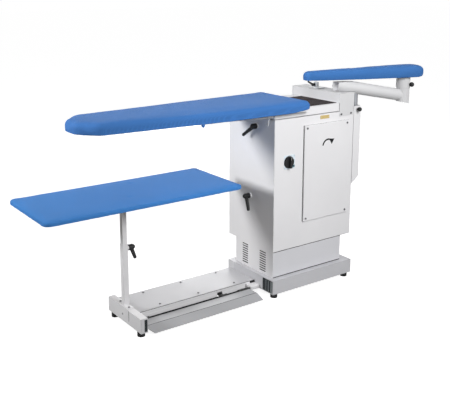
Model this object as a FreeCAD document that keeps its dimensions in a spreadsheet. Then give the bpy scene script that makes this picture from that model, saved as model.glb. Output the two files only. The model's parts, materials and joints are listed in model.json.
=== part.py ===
"""Ironing table: a padded board, a cloth shelf and a swinging sleeve buck on a fan cabinet."""
import math
import os

import FreeCAD
import Part
import Sketcher

Vector = FreeCAD.Vector
Rotation = FreeCAD.Rotation
Placement = FreeCAD.Placement

doc = FreeCAD.newDocument("IroningTable")
sheet = doc.addObject("Spreadsheet::Sheet", "Dims")
rows = []
parts = []


class Size:
    """A length that knows both its value and the sheet formula that gives it."""

    def __init__(self, value, formula):
        self.value = float(value)
        self.formula = formula

    def _mix(self, other, sign, swap=False):
        other = as_size(other)
        a, b = (other, self) if swap else (self, other)
        value = {
            "+": a.value + b.value,
            "-": a.value - b.value,
            "*": a.value * b.value,
            "/": a.value / b.value if b.value else 0.0,
        }[sign]
        return Size(value, f"({a.formula} {sign} {b.formula})")

    def __add__(self, other):
        return self._mix(other, "+")

    def __radd__(self, other):
        return self._mix(other, "+", True)

    def __sub__(self, other):
        return self._mix(other, "-")

    def __rsub__(self, other):
        return self._mix(other, "-", True)

    def __mul__(self, other):
        return self._mix(other, "*")

    def __rmul__(self, other):
        return self._mix(other, "*", True)

    def __truediv__(self, other):
        return self._mix(other, "/")


def as_size(x):
    return x if isinstance(x, Size) else Size(x, f"({float(x)!r})")


def dim(alias, value):
    """Write one driving size into the sheet."""
    rows.append(alias)
    cell = f"A{len(rows)}"
    sheet.set(cell, str(value))
    sheet.setAlias(cell, alias)
    return Size(value, f"Dims.{alias}")


def bind(obj, prop, size):
    obj.setExpression(prop, as_size(size).formula)


def place(obj, x, y, z):
    bind(obj, "Placement.Base.x", x)
    bind(obj, "Placement.Base.y", y)
    bind(obj, "Placement.Base.z", z)
    return obj


def span(x0, x1, y0, y1, z0, z1):
    """A block between two corners."""
    obj = doc.addObject("Part::Box", "Block")
    bind(obj, "Length", as_size(x1) - x0)
    bind(obj, "Width", as_size(y1) - y0)
    bind(obj, "Height", as_size(z1) - z0)
    return place(obj, x0, y0, z0)


TURN = {
    "Z": Rotation(),
    "X": Rotation(Vector(0, 1, 0), 90),
    "-X": Rotation(Vector(0, 1, 0), -90),
    "Y": Rotation(Vector(1, 0, 0), -90),
    "-Y": Rotation(Vector(1, 0, 0), 90),
}


def rod(x, y, z, radius, length, axis="Z"):
    """A cylinder from the centre of its first end."""
    obj = doc.addObject("Part::Cylinder", "Rod")
    bind(obj, "Radius", radius)
    bind(obj, "Height", length)
    turn = TURN[axis] if isinstance(axis, str) else Rotation(Vector(0, 0, 1), axis)
    obj.Placement = Placement(Vector(), turn)
    return place(obj, x, y, z)


def taper(x, y, z, radius0, radius1, length, direction):
    """A cone from the centre of its first end along a direction."""
    obj = doc.addObject("Part::Cone", "Taper")
    bind(obj, "Radius1", radius0)
    bind(obj, "Radius2", radius1)
    bind(obj, "Height", length)
    obj.Placement = Placement(Vector(), Rotation(Vector(0, 0, 1), direction))
    return place(obj, x, y, z)


def ball(x, y, z, radius):
    obj = doc.addObject("Part::Sphere", "Ball")
    bind(obj, "Radius", radius)
    return place(obj, x, y, z)


def join(*shapes):
    obj = doc.addObject("Part::MultiFuse", "Join")
    obj.Shapes = list(shapes)
    obj.Refine = True
    return obj


def cut(base, *tools):
    obj = doc.addObject("Part::Cut", "Cut")
    obj.Base = base
    obj.Tool = tools[0] if len(tools) == 1 else join(*tools)
    obj.Refine = True
    return obj


PLANES = {
    "XY": Rotation(),
    "YZ": Rotation(Vector(0, 1, 0), Vector(0, 0, 1), Vector(1, 0, 0), "XYZ"),
    "XZ": Rotation(Vector(1, 0, 0), Vector(0, 0, 1), Vector(0, -1, 0), "XYZ"),
}


def profile(points, plane, start, depth):
    """A body padded from a polygon sketch; XZ sketches are padded towards +Y."""
    body = doc.addObject("PartDesign::Body", "Body")
    sketch = body.newObject("Sketcher::SketchObject", "Outline")
    sketch.Placement = Placement(Vector(), PLANES[plane])
    axis = {"XY": "z", "YZ": "x", "XZ": "y"}[plane]
    bind(sketch, f"Placement.Base.{axis}", start)
    points = [(as_size(a), as_size(b)) for a, b in points]
    count = len(points)
    for i, (a, b) in enumerate(points):
        c, d = points[(i + 1) % count]
        line = Part.LineSegment(Vector(a.value, b.value, 0), Vector(c.value, d.value, 0))
        sketch.addGeometry(line, False)
    for i in range(count):
        sketch.addConstraint(Sketcher.Constraint("Coincident", i, 2, (i + 1) % count, 1))
    for i, (a, b) in enumerate(points):
        for kind, size in (("DistanceX", a), ("DistanceY", b)):
            index = sketch.addConstraint(Sketcher.Constraint(kind, -1, 1, i, 1, size.value))
            sketch.renameConstraint(index, f"{kind}{i}")
            bind(sketch, f"Constraints.{kind}{i}", size)
    pad = body.newObject("PartDesign::Pad", "Pad")
    pad.Profile = sketch
    pad.Reversed = plane == "XZ"
    bind(pad, "Length", depth)
    sketch.Visibility = False
    doc.recompute()
    return body


def fillet(body, picks, radius):
    """Round the edges of a body that a test picks."""
    last = body.Tip
    names = [f"Edge{i + 1}" for i, e in enumerate(last.Shape.Edges) if picks(e)]
    feature = body.newObject("PartDesign::Fillet", "Fillet")
    feature.Base = (last, names)
    bind(feature, "Radius", radius)
    doc.recompute()
    return body


def upright_at(x, y):
    """A test for the upright edge through one corner of an outline."""
    x, y = as_size(x).value, as_size(y).value

    def test(edge):
        ends = [v.Point for v in edge.Vertexes]
        return len(ends) == 2 and all(math.hypot(p.x - x, p.y - y) < 0.2 for p in ends)

    return test


def at_height(z):
    z = as_size(z).value
    return lambda edge: all(abs(v.Point.z - z) < 0.05 for v in edge.Vertexes)


def done(label, obj):
    obj.Label = label
    parts.append(obj)
    return obj


# Where the cabinet's front left edge stands in the part's frame
cx = dim("cabinet_left", 110.5)
cy = dim("cabinet_front", -129)

# Heights and plan sizes of the stand and cabinet
sheet_t = dim("sheet_thickness", 1.5)
foot_h = dim("foot_height", 22)
base_h = dim("base_height", 68)
plinth_h = dim("plinth_height", 127)
cab_h = dim("cabinet_height", 633)
cab_w = dim("cabinet_width", 497)
cab_d = dim("cabinet_depth", 350)
plinth_w = dim("plinth_width", 433)
plinth_d = dim("plinth_depth", 292)
base_w = dim("base_width", 504)
base_d = dim("base_depth", 359)
base_left = dim("base_past_left", 23)
base_front = dim("base_past_front", 33)
beam_w = dim("beam_width", 48)
tube_t = dim("tube_wall", 2.5)
cap_t = dim("cap_thickness", 3)
plate_t = dim("plate_thickness", 2)

base_top = foot_h + base_h
plinth_top = base_top + plinth_h
cab_top = plinth_top + cab_h
cab_right = cx + cab_w
cab_back = cy + cab_d
bx0 = cx - base_left
bx1 = bx0 + base_w
by0 = cy - base_front
by1 = by0 + base_d
beam_top = base_top - plate_t


def box_tube_x(x0, x1, y0, y1, z0, z1, wall):
    inner = span(x0 - 1, x1 + 1, y0 + wall, y1 - wall, z0 + wall, z1 - wall)
    return cut(span(x0, x1, y0, y1, z0, z1), inner)


def box_tube_z(x0, x1, y0, y1, z0, z1, wall):
    inner = span(x0 + wall, x1 - wall, y0 + wall, y1 - wall, z0 - 1, z1 + 1)
    return cut(span(x0, x1, y0, y1, z0, z1), inner)


# Feet and their studs
foot_r = dim("foot_radius", 17)
foot_in = dim("foot_inset", 24)
stud_r = dim("foot_stud_radius", 4)
stud_in = dim("foot_stud_depth", 12)
stud_rise = dim("foot_stud_rise", 14)
nut_r = dim("foot_nut_radius", 7)
nut_h = dim("foot_nut_height", 6)
end_w = dim("end_foot_width", 33)
end_len = dim("end_foot_length", 295)
end_h = dim("end_foot_height", 65)
reach = dim("end_foot_reach", 724)
ex0 = cx - reach
ex1 = ex0 + end_w
ey0 = cy - dim("end_foot_past_front", 22)
ey1 = ey0 + end_len
end_mid = ex0 + end_w / 2
end_top = foot_h + end_h
end_foot_in = dim("end_foot_inset", 30)

foot_places = [
    (bx0 + foot_in, by0 + beam_w / 2),
    (bx1 - foot_in, by0 + beam_w / 2),
    (bx0 + foot_in, by1 - beam_w / 2),
    (bx1 - foot_in, by1 - beam_w / 2),
    (end_mid, ey0 + end_foot_in),
    (end_mid, ey1 - end_foot_in),
]
stud_bottom = foot_h - stud_in
pads = [rod(x, y, 0, foot_r, foot_h) for x, y in foot_places]
pad_bores = [rod(x, y, stud_bottom, stud_r, foot_h) for x, y in foot_places]
done("rubber_feet", cut(join(*pads), *pad_bores))
stud_len = stud_in + tube_t + stud_rise
studs = [rod(x, y, stud_bottom, stud_r, stud_len) for x, y in foot_places]
nuts = [rod(x, y, foot_h + tube_t, nut_r, nut_h) for x, y in foot_places]
done("foot_studs", join(*studs, *nuts))


def stud_holes(places):
    return [rod(x, y, foot_h - 1, stud_r, tube_t + 2) for x, y in places]


# Base under the cabinet
front_beam = box_tube_x(bx0 + cap_t, bx1 - cap_t, by0, by0 + beam_w, foot_h, beam_top, tube_t)
done("base_front_beam", cut(front_beam, *stud_holes(foot_places[0:2])))
rear_beam = box_tube_x(bx0 + cap_t, bx1 - cap_t, by1 - beam_w, by1, foot_h, beam_top, tube_t)
done("base_rear_beam", cut(rear_beam, *stud_holes(foot_places[2:4])))
done("tube_caps", join(
    span(bx0, bx0 + cap_t, by0, by0 + beam_w, foot_h, beam_top),
    span(bx1 - cap_t, bx1, by0, by0 + beam_w, foot_h, beam_top),
    span(bx0, bx0 + cap_t, by1 - beam_w, by1, foot_h, beam_top),
    span(bx1 - cap_t, bx1, by1 - beam_w, by1, foot_h, beam_top),
    span(ex0, ex1, ey0, ey0 + cap_t, foot_h, end_top),
    span(ex0, ex1, ey1 - cap_t, ey1, foot_h, end_top),
))

# End foot
end_tube = cut(
    span(ex0, ex1, ey0 + cap_t, ey1 - cap_t, foot_h, end_top),
    span(ex0 + tube_t, ex1 - tube_t, ey0, ey1, foot_h + tube_t, end_top - tube_t),
)
slit_y = cy + dim("slit_from_front", 79)
slit_w = dim("slit_width", 1.5)
slit_z = foot_h + dim("slit_rise", 25)
slit = span(ex0 - 1, ex0 + tube_t + 1, slit_y, slit_y + slit_w, slit_z, end_top + 1)

# Pedal hinge line, in front of the platform
plat_front = cy + dim("platform_front", 112)
plat_depth = dim("platform_depth", 195)
plat_back = plat_front + plat_depth
plat_top = foot_h + dim("platform_rise", 31)
rail_w = dim("rail_width", 28)
hinge_y = plat_front - dim("hinge_from_platform", 34)
hinge_z = foot_h + dim("hinge_rise", 10)
hinge_r = dim("hinge_radius", 5)
run = dim("running_clearance", 0.05)
hinge_hole_l = rod(ex1 - tube_t - 1, hinge_y, hinge_z, hinge_r, tube_t + 2, "X")
post_x = ex0 + dim("post_from_end", 20.46)
post_y = cy + dim("post_from_front", 150)
post_screw_gap = dim("post_screw_spread", 39)
post_screw_y = [post_y - post_screw_gap, post_y + post_screw_gap]
screw_r = dim("screw_radius", 2.5)
head_r = dim("screw_head_radius", 5)
head_h = dim("screw_head_height", 2.5)
post_holes = [rod(end_mid, y, end_top - tube_t - 1, screw_r, tube_t + 2) for y in post_screw_y]
done("end_foot", cut(end_tube, slit, hinge_hole_l, *stud_holes(foot_places[4:6]), *post_holes))

# Base plate with its two ends folded down
hinge_hole_r = rod(bx0 - 1, hinge_y, hinge_z, hinge_r, cap_t + 2, "X")
done("base_plate", cut(join(
    span(bx0, bx1, by0, by1, beam_top, base_top),
    span(bx0, bx0 + cap_t, by0 + beam_w, by1 - beam_w, foot_h, beam_top),
    span(bx1 - cap_t, bx1, by0 + beam_w, by1 - beam_w, foot_h, beam_top),
), hinge_hole_r))

# Platform between the end foot and the base
plate_under = plat_top - sheet_t
arm_x = bx0 - dim("pedal_arm_from_base", 215)
arm_w = dim("pedal_arm_width", 20)
web = plate_t


def rail(y0, y1, hollow_y0, hollow_y1):
    block = span(ex1, bx0, y0, y1, foot_h, plate_under)
    hollow = span(ex1 - 1, bx0 + 1, hollow_y0, hollow_y1, foot_h + web, plate_under - web)
    return block, hollow


screw_start = ex1 + dim("plate_screw_start", 152)
screw_step = dim("plate_screw_step", 205.5)
screw_x = [screw_start + screw_step * k for k in range(3)]
front_screw_y = plat_front + dim("front_screw_inset", 23)
rear_screw_y = plat_back - dim("rear_screw_inset", 19)
plate_screws = [(x, y) for x in screw_x for y in (front_screw_y, rear_screw_y)]
shank = dim("plate_screw_shank", 8)
holes = [rod(x, y, plat_top - shank, screw_r, shank + 1) for x, y in plate_screws]
block, hollow = rail(plat_front, plat_front + rail_w, plat_front + web, plat_front + rail_w + 1)
notch_gap = dim("arm_notch_clearance", 4)
notch_top = plate_under - dim("arm_notch_drop", 13)
notch = span(arm_x - notch_gap, arm_x + arm_w + notch_gap, plat_front - 1, plat_front + rail_w + 1,
             foot_h - 1, notch_top)
front_rail = cut(block, hollow, notch, *holes[0::2])
holes = [rod(x, y, plat_top - shank, screw_r, shank + 1) for x, y in plate_screws]
block, hollow = rail(plat_back - rail_w, plat_back, plat_back - rail_w - 1, plat_back - web)
done("platform_rear_rail", cut(block, hollow, *holes[1::2]))
holes = [rod(x, y, plat_top - shank, screw_r, shank + 1) for x, y in plate_screws]
done("platform_plate", cut(span(ex1, bx0, plat_front, plat_back, plate_under, plat_top), *holes))
heads = [rod(x, y, plat_top, head_r, head_h) for x, y in plate_screws]
shanks = [rod(x, y, plat_top - shank, screw_r, shank) for x, y in plate_screws]
frame_screws = heads + shanks

# Pedal: bent treadle, hinge eyes and a rear arm that lifts when the tread goes down
pedal_t = dim("pedal_thickness", 3)
ped_x0 = ex1 + dim("pedal_end_gap", 3)
ped_x1 = bx0 - dim("pedal_from_base", 62)
tread_y = hinge_y - dim("tread_from_hinge", 6)
tread_z = hinge_z + dim("tread_rise", 2.5)
fold_y = cy + dim("pedal_fold_back", 10)
fold_z = hinge_z + dim("pedal_fold_rise", 3.5)
lip_y = cy - dim("pedal_lip_front", 36)
lip_z = foot_h - dim("pedal_lip_drop", 3)
tread = profile([
    (tread_y, tread_z),
    (fold_y, fold_z),
    (lip_y, lip_z),
    (lip_y - 1, lip_z - pedal_t),
    (fold_y - 1, fold_z - pedal_t),
    (tread_y, tread_z - pedal_t),
], "YZ", ped_x0, ped_x1 - ped_x0)
lip_corner = dim("pedal_corner_cut", 24)
lip_cut = profile([
    (ped_x0 - 1, lip_y - 5),
    (ped_x0 + lip_corner, lip_y - 5),
    (ped_x0 - 1, fold_y + 2),
], "XY", 0, 60)
eye_r = hinge_r + dim("hinge_eye_wall", 3)
eye_len = dim("hinge_eye_length", 60)
eye_past = dim("arm_eye_past", 6)
eyes = [
    rod(ped_x0, hinge_y, hinge_z, eye_r, eye_len, "X"),
    rod(arm_x - eye_past, hinge_y, hinge_z, eye_r, arm_w + eye_past * 2, "X"),
    rod(ped_x1 - eye_len, hinge_y, hinge_z, eye_r, eye_len, "X"),
]
arm_end = hinge_y + dim("pedal_arm_length", 112)
arm_top = hinge_z - dim("pedal_arm_drop", 2)
arm_t = dim("pedal_arm_thickness", 5)
rear_arm = span(arm_x, arm_x + arm_w, hinge_y, arm_end, arm_top - arm_t, arm_top)
bore = rod(ex0, hinge_y, hinge_z, hinge_r + run, reach, "X")
done("pedal", cut(join(tread, *eyes, rear_arm), lip_cut, bore))
done("hinge_rod", rod(ex1 - tube_t, hinge_y, hinge_z, hinge_r, bx0 + cap_t - ex1 + tube_t, "X"))
br_x = ped_x1 + dim("hinge_bracket_gap", 8)
br_t = dim("hinge_bracket_thickness", 3)
br_foot = dim("hinge_bracket_foot", 26)
br_front = hinge_y - dim("hinge_bracket_front", 10)
br_top = hinge_z + dim("hinge_bracket_rise", 12)
bracket = join(
    span(br_x, br_x + br_t, br_front, plat_front, foot_h, br_top),
    span(br_x, br_x + br_foot, plat_front - br_t, plat_front, foot_h, br_top),
)
bracket_hole = rod(br_x - 1, hinge_y, hinge_z, hinge_r, br_t + 2, "X")
done("platform_front_rail", join(front_rail, cut(bracket, bracket_hole)))

# Pedal switch on the underside of the platform plate, worked by the rear arm
sw_x = arm_x + arm_w / 2
sw_y = hinge_y + dim("pedal_switch_back", 76)
sw_z = arm_top + dim("pedal_switch_gap", 11)
sw_half_x = dim("pedal_switch_half_width", 9)
sw_half_y = dim("pedal_switch_half_length", 11)
plunger_r = dim("plunger_radius", 3)
plunger_len = dim("plunger_length", 11.8)
switch = span(sw_x - sw_half_x, sw_x + sw_half_x, sw_y - sw_half_y, sw_y + sw_half_y, sw_z, plate_under)
sw_bore = rod(sw_x, sw_y, sw_z - 1, plunger_r + run, plate_under - sw_z)
done("pedal_switch", cut(switch, sw_bore))
done("switch_plunger", rod(sw_x, sw_y, arm_top, plunger_r, plunger_len))

# Return spring between the rear arm and the platform plate
spring_r = dim("spring_radius", 6)
wire_r = dim("spring_wire_radius", 1.2)
spring_turns = dim("spring_turns", 3)
spring_y = hinge_y + dim("pedal_spring_back", 101)
spring_h = plate_under - arm_top
helix = doc.addObject("Part::Helix", "SpringPath")
bind(helix, "Radius", spring_r)
bind(helix, "Height", spring_h - wire_r * 2)
bind(helix, "Pitch", (spring_h - wire_r * 2) / spring_turns)
wire = doc.addObject("Part::Circle", "SpringWire")
bind(wire, "Radius", wire_r)
wire.Placement = Placement(Vector(), Rotation(Vector(1, 0, 0), 90))
place(wire, spring_r, 0, 0)
spring = doc.addObject("Part::Sweep", "Spring")
spring.Sections = [wire]
doc.recompute()
spring.Spine = (helix, [])
spring.Solid = True
spring.Frenet = True
done("pedal_spring", place(spring, sw_x, spring_y, arm_top + wire_r))

# Shelf post: outer tube on a foot plate, inner tube, clamp
post_w = dim("post_width", 25)
inner_w = dim("inner_post_width", 21)
post_top = foot_h + dim("post_height", 346)
post_plate = dim("post_plate_thickness", 3)
post_wall = (post_w - inner_w) / 2 - run
shelf_top = foot_h + dim("shelf_height", 566)
shelf_pad = dim("shelf_pad_thickness", 8)
panel_t = dim("shelf_panel_thickness", 12)
shelf_len = dim("shelf_length", 931)
shelf_w = dim("shelf_width", 396)
shelf_x0 = cx - dim("shelf_reach", 1122)
shelf_y0 = cy - dim("shelf_past_front", 27)
panel_bottom = shelf_top - shelf_pad - panel_t
bracket_t = dim("shelf_bracket_thickness", 3)
inner_top = panel_bottom - bracket_t
clamp_z = post_top - dim("post_clamp_drop", 22)
post_boss_r = dim("post_boss_radius", 10)
post_boss = dim("post_boss_length", 8)
clamp_r = dim("clamp_stud_radius", 5)
half = post_w / 2
outer_tube = box_tube_z(post_x - half, post_x + half, post_y - half, post_y + half,
                        end_top + post_plate, post_top, post_wall)
plate_past = dim("post_plate_past_screws", 11)
foot_plate = span(ex0, ex1, post_screw_y[0] - plate_past, post_screw_y[1] + plate_past,
                  end_top, end_top + post_plate)
boss = rod(post_x + half, post_y, clamp_z, post_boss_r, post_boss, "X")
clamp_bore = rod(post_x + half - post_wall - 0.5, post_y, clamp_z, clamp_r + run, 20, "X")
plate_holes = [rod(end_mid, y, end_top - 1, screw_r, post_plate + 2) for y in post_screw_y]
done("outer_post", cut(join(outer_tube, foot_plate, boss), clamp_bore, *plate_holes))
for y in post_screw_y:
    frame_screws.append(rod(end_mid, y, end_top + post_plate, head_r, head_h))
    frame_screws.append(rod(end_mid, y, end_top - 6, screw_r, post_plate + 6))
inner_bottom = end_top + dim("inner_post_start", 106)
half = inner_w / 2
done("inner_post", box_tube_z(post_x - half, post_x + half, post_y - half, post_y + half,
                              inner_bottom, inner_top, sheet_t))
br_half_x = dim("shelf_bracket_half_length", 150)
br_half_y = dim("shelf_bracket_half_width", 75)
shelf_screw_in = dim("shelf_screw_inset", 20)
shelf_screws = [(post_x + sx * (br_half_x - shelf_screw_in), post_y + sy * (br_half_y - shelf_screw_in))
                for sx in (-1, 1) for sy in (-1, 1)]
collar_h = dim("shelf_collar_height", 36)
wide = half + bracket_t
collar = box_tube_z(post_x - wide, post_x + wide, post_y - wide, post_y + wide,
                    inner_top - collar_h, inner_top, bracket_t)
flat = span(post_x - br_half_x, post_x + br_half_x, post_y - br_half_y, post_y + br_half_y,
            inner_top, panel_bottom)
pin_in = dim("shelf_pin_depth", 9)
pins = [rod(x, y, inner_top, screw_r, bracket_t + pin_in) for x, y in shelf_screws]
done("shelf_bracket", join(collar, flat, *pins))


def rounded_block(x0, x1, y0, y1, z0, z1, corner):
    body = profile([(x0, y0), (x1, y0), (x1, y1), (x0, y1)], "XY", z0, as_size(z1) - z0)
    tests = [upright_at(x, y) for x in (x0, x1) for y in (y0, y1)]
    return fillet(body, lambda e: any(t(e) for t in tests), corner)


shelf_side = dim("shelf_cover_side", 6)
shelf_r = dim("shelf_corner_radius", 28)
shelf_x1 = shelf_x0 + shelf_len
shelf_y1 = shelf_y0 + shelf_w


def shelf_core():
    return rounded_block(shelf_x0 + shelf_side, shelf_x1 - shelf_side, shelf_y0 + shelf_side,
                         shelf_y1 - shelf_side, panel_bottom, panel_bottom + panel_t,
                         shelf_r - shelf_side)


holes = [rod(x, y, panel_bottom - 1, screw_r, pin_in + 1) for x, y in shelf_screws]
done("shelf_panel", cut(shelf_core(), *holes))
shelf_skin = rounded_block(shelf_x0, shelf_x1, shelf_y0, shelf_y1, panel_bottom, shelf_top,
                           shelf_r)
fillet(shelf_skin, at_height(shelf_top), dim("shelf_edge_radius", 6))
done("shelf_cover", cut(shelf_skin, shelf_core()))


# Clamp levers: a hub and a tapered handle leaning outwards
hub_r = dim("lever_hub_radius", 13)
grip_root = dim("lever_grip_root_radius", 9)
grip_r = dim("lever_grip_radius", 7.5)


def lever(x, y, z, axis_x, hub_len, lean, dy, dz):
    """A lever whose stud axis runs along X; dy, dz give the handle's run and lean its rise."""
    side = 1 if axis_x == "X" else -1
    length = math.sqrt(lean * lean + dy * dy + dz * dz)
    hub = rod(x, y, z, hub_r, hub_len, axis_x)
    root_x = as_size(x) + side * (hub_len - 9)
    handle = taper(root_x, y, z, grip_root, grip_r, length, Vector(side * lean, dy, dz))
    end = ball(root_x + side * lean, as_size(y) + dy, as_size(z) + dz, grip_r)
    crown = ball(as_size(x) + side * hub_len, y, z, hub_r * 0.8)
    return join(hub, handle, end, crown)


boss_end = post_x + post_w / 2 + post_boss
clamp_tip = post_x + inner_w / 2 + run
post_stud = rod(clamp_tip, post_y, clamp_z, clamp_r, boss_end + 16 - clamp_tip, "X")
done("post_lever", join(post_stud, lever(boss_end + 0.2, post_y, clamp_z, "X", 22, 14, -8, -46)))

# Cabinet panels
t = sheet_t
column_x0 = cx + dim("column_from_left", 4.6)
column_w = dim("column_width", 80)
column_d = dim("column_depth", 130)
column_y0 = cy + dim("column_from_front", 90)
column_y1 = column_y0 + column_d
column_x1 = column_x0 + column_w
guide_t = dim("guide_wall", 3)
guide_gap = dim("guide_clearance", 0.1)
upper_y = cy + dim("upper_lever_from_front", 129)
upper_z = cab_top - dim("upper_lever_drop", 44)
lower_y = cy + dim("lower_lever_from_front", 177)
lower_z = plinth_top + dim("lower_lever_rise", 241)
lever_places = [(upper_y, upper_z), (lower_y, lower_z)]
left = profile([
    (cy, base_top),
    (cy + plinth_d, base_top),
    (cy + plinth_d, plinth_top),
    (cab_back, plinth_top),
    (cab_back, cab_top),
    (cy, cab_top),
], "YZ", cx, t)
vents = []
vent_count = 9
vent_h = dim("vent_height", 5)
vent_start = dim("vent_start", 14)
vent_step = (plinth_h - vent_start - dim("vent_top_margin", 8)) / vent_count
for k in range(vent_count):
    z0 = base_top + vent_start + vent_step * k
    for y0, y1 in ((55, 100), (194, 236)):
        vents.append(span(cx - 1, cx + t + 1, cy + y0, cy + y1, z0, z0 + vent_h))
lever_holes = [rod(cx - 10, y, z, clamp_r + run, 14, "X") for y, z in lever_places]
boss_t = dim("clamp_boss_thickness", 8)
boss_r = dim("clamp_boss_radius", 12)
bosses = [rod(cx - boss_t, y, z, boss_r, boss_t, "X") for y, z in lever_places]
done("left_panel", cut(join(left, *bosses), *vents, *lever_holes))

floor_top = plinth_top + t
floor = span(cx + t, cab_right, cy, cab_back, plinth_top, floor_top)
fan_t = dim("volute_wall", 2)
out_x0 = cx + dim("outlet_start", 340)
out_x1 = cx + dim("outlet_end", 430)
fan_y0 = cy + dim("volute_from_front", 92)
fan_d = dim("volute_depth", 80)
fan_y1 = fan_y0 + fan_d
floor = cut(floor, span(out_x0 + fan_t, out_x1 - fan_t, fan_y0 + fan_t, fan_y1 - fan_t,
                        plinth_top - 1, floor_top + 1))

door_x0 = cx + dim("door_from_left", 177)
door_x1 = cab_right - dim("door_from_right", 33)
door_z0 = plinth_top + dim("door_rise", 122)
door_z1 = cab_top - dim("door_drop", 44)
door_t = dim("door_thickness", 8)
door_in_x = dim("door_screw_inset", 15)
door_in_z = dim("door_screw_drop", 13)
door_screws = [(x, z) for x in (door_x0 + door_in_x, door_x1 - door_in_x)
               for z in (door_z0 + door_in_z, door_z1 - door_in_z)]
bridge_x0 = cab_right - dim("bridge_width", 96)
bridge_top = cab_top + dim("bridge_height", 88)
bridge_lip = cab_top - dim("bridge_lip", 23)
bridge_screw_z = cab_top - dim("bridge_screw_drop", 13)
bridge_screw_x = bridge_x0 + dim("bridge_screw_start", 12)
bridge_screws = [(bridge_screw_x, bridge_screw_z),
                 (bridge_screw_x + dim("bridge_screw_step", 64), bridge_screw_z)]
dial_x = cx + dim("switch_from_left", 86)
dial_z = plinth_top + dim("switch_rise", 428)
shaft_r = dim("switch_shaft_radius", 4)
screw_in = dim("front_screw_depth", 4)


def front_holes(places):
    return [rod(x, cy - door_t - 1, z, screw_r, door_t + screw_in + 2, "Y") for x, z in places]


front = span(cx + t, cab_right, cy, cy + t, floor_top, cab_top)
service_in = dim("service_inset", 63)
service_lip = dim("service_lip", 21)
service = span(door_x0 + service_in, door_x1 - service_in, cy - 1, cy + t + 1,
               door_z0 + service_lip, door_z1 - service_lip)
dial_hole = rod(dial_x, cy - 1, dial_z, shaft_r + run, t + 2, "Y")
done("front_panel", cut(front, service, dial_hole, *front_holes(door_screws + bridge_screws)))
done("wrap_panel", join(
    span(cab_right - t, cab_right, cy + t, cab_back, floor_top, cab_top),
    span(cx + t, cab_right, cab_back - t, cab_back, floor_top, cab_top),
))
top_plate = span(cx + t, cab_right - t, cy + t, cab_back - t, cab_top - t, cab_top)
top_hole = span(column_x0 - 1, column_x1 + 1, column_y0 - 1, column_y1 + 1,
                cab_top - t - 1, cab_top + 1)
done("cabinet_top", cut(top_plate, top_hole))
plinth_x1 = cx + plinth_w
plinth_y1 = cy + plinth_d
done("plinth_wrap", join(
    span(cx + t, plinth_x1, cy, cy + t, base_top, plinth_top),
    span(plinth_x1 - t, plinth_x1, cy, plinth_y1, base_top, plinth_top),
    span(cx + t, plinth_x1, plinth_y1 - t, plinth_y1, base_top, plinth_top),
))

door = span(door_x0, door_x1, cy - door_t, cy, door_z0, door_z1)
door_room = span(door_x0 + t, door_x1 - t, cy - door_t + t, cy + 1, door_z0 + t, door_z1 - t)
done("access_door", cut(door, door_room, *front_holes(door_screws)))
for face_t, places in ((door_t, door_screws), (t, bridge_screws)):
    for x, z in places:
        frame_screws.append(rod(x, cy - face_t, z, head_r, head_h, "-Y"))
        frame_screws.append(rod(x, cy - face_t, z, screw_r, face_t + screw_in, "Y"))
done("frame_screws", join(*frame_screws))

# Rotary switch
dial_half = dim("switch_plate_half", 33)
dial_r = dim("switch_knob_radius", 29)
knob_h = dim("switch_knob_height", 20)
dial_t = dim("switch_plate_thickness", 1.5)
dial_face = cy - dial_t
plate_off = dim("switch_plate_offset", 5)
plate = span(dial_x - dial_half + plate_off, dial_x + dial_half + plate_off, dial_face, cy,
             dial_z - dial_half, dial_z + dial_half)
done("switch_plate", cut(plate, rod(dial_x, dial_face - 1, dial_z, shaft_r + run, 4, "Y")))
body_half = dim("switch_body_half", 23)
body_back = cy + dim("switch_body_depth", 46)
stem_len = dim("switch_stem_length", 30)
body = span(dial_x - body_half, dial_x + body_half, cy + t, body_back, dial_z - body_half, dial_z + body_half)
done("switch_body", cut(body, rod(dial_x, cy, dial_z, shaft_r + run, stem_len + 2, "Y")))
disc_t = dim("switch_disc_thickness", 7)
disc_gap = dim("switch_disc_gap", 0.3)
grip_half = dim("switch_grip_half", 6)
disc_slope = dim("switch_disc_slope", 3)
skirt = taper(dial_x, dial_face - disc_gap, dial_z, dial_r, dial_r - disc_slope, disc_t, Vector(0, -1, 0))
grip = profile([
    (dial_x - grip_half, dial_z - dial_r + disc_slope),
    (dial_x + grip_half, dial_z - dial_r + disc_slope),
    (dial_x + grip_half / 2, dial_z + dial_r - disc_slope),
    (dial_x - grip_half / 2, dial_z + dial_r - disc_slope),
], "XZ", dial_face - knob_h, knob_h - disc_t + 1)
stem = rod(dial_x, dial_face - disc_gap, dial_z, shaft_r, stem_len, "Y")
done("switch_knob", join(skirt, grip, stem))

# Column guide and clamps on the cabinet's left side
guide_x0 = cx + t
guide_x1 = column_x1 + guide_gap + guide_t
guide_y0 = column_y0 - guide_gap - guide_t
guide_y1 = column_y1 + guide_gap + guide_t
guide_z0 = plinth_top + dim("guide_rise", 183)
guide = cut(
    span(guide_x0, guide_x1, guide_y0, guide_y1, guide_z0, cab_top - t),
    span(column_x0 - guide_gap, column_x1 + guide_gap, column_y0 - guide_gap,
         column_y1 + guide_gap, guide_z0 - 1, cab_top),
)
stud_ways = [rod(cx, y, z, clamp_r + run, 6, "X") for y, z in lever_places]
done("column_guide", cut(guide, *stud_ways))
tip_x = column_x0 - guide_gap
hub_x = cx - boss_t - 0.2
for name, (y, z), hub_len, run_y, run_z in (
    ("upper", lever_places[0], 22, 57, -47),
    ("lower", lever_places[1], 26, -38, -55),
):
    stud = rod(hub_x - 8, y, z, clamp_r, tip_x - hub_x + 8, "X")
    done(f"{name}_lever", join(stud, lever(hub_x, y, z, "-X", hub_len, 16, run_y, run_z)))

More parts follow.
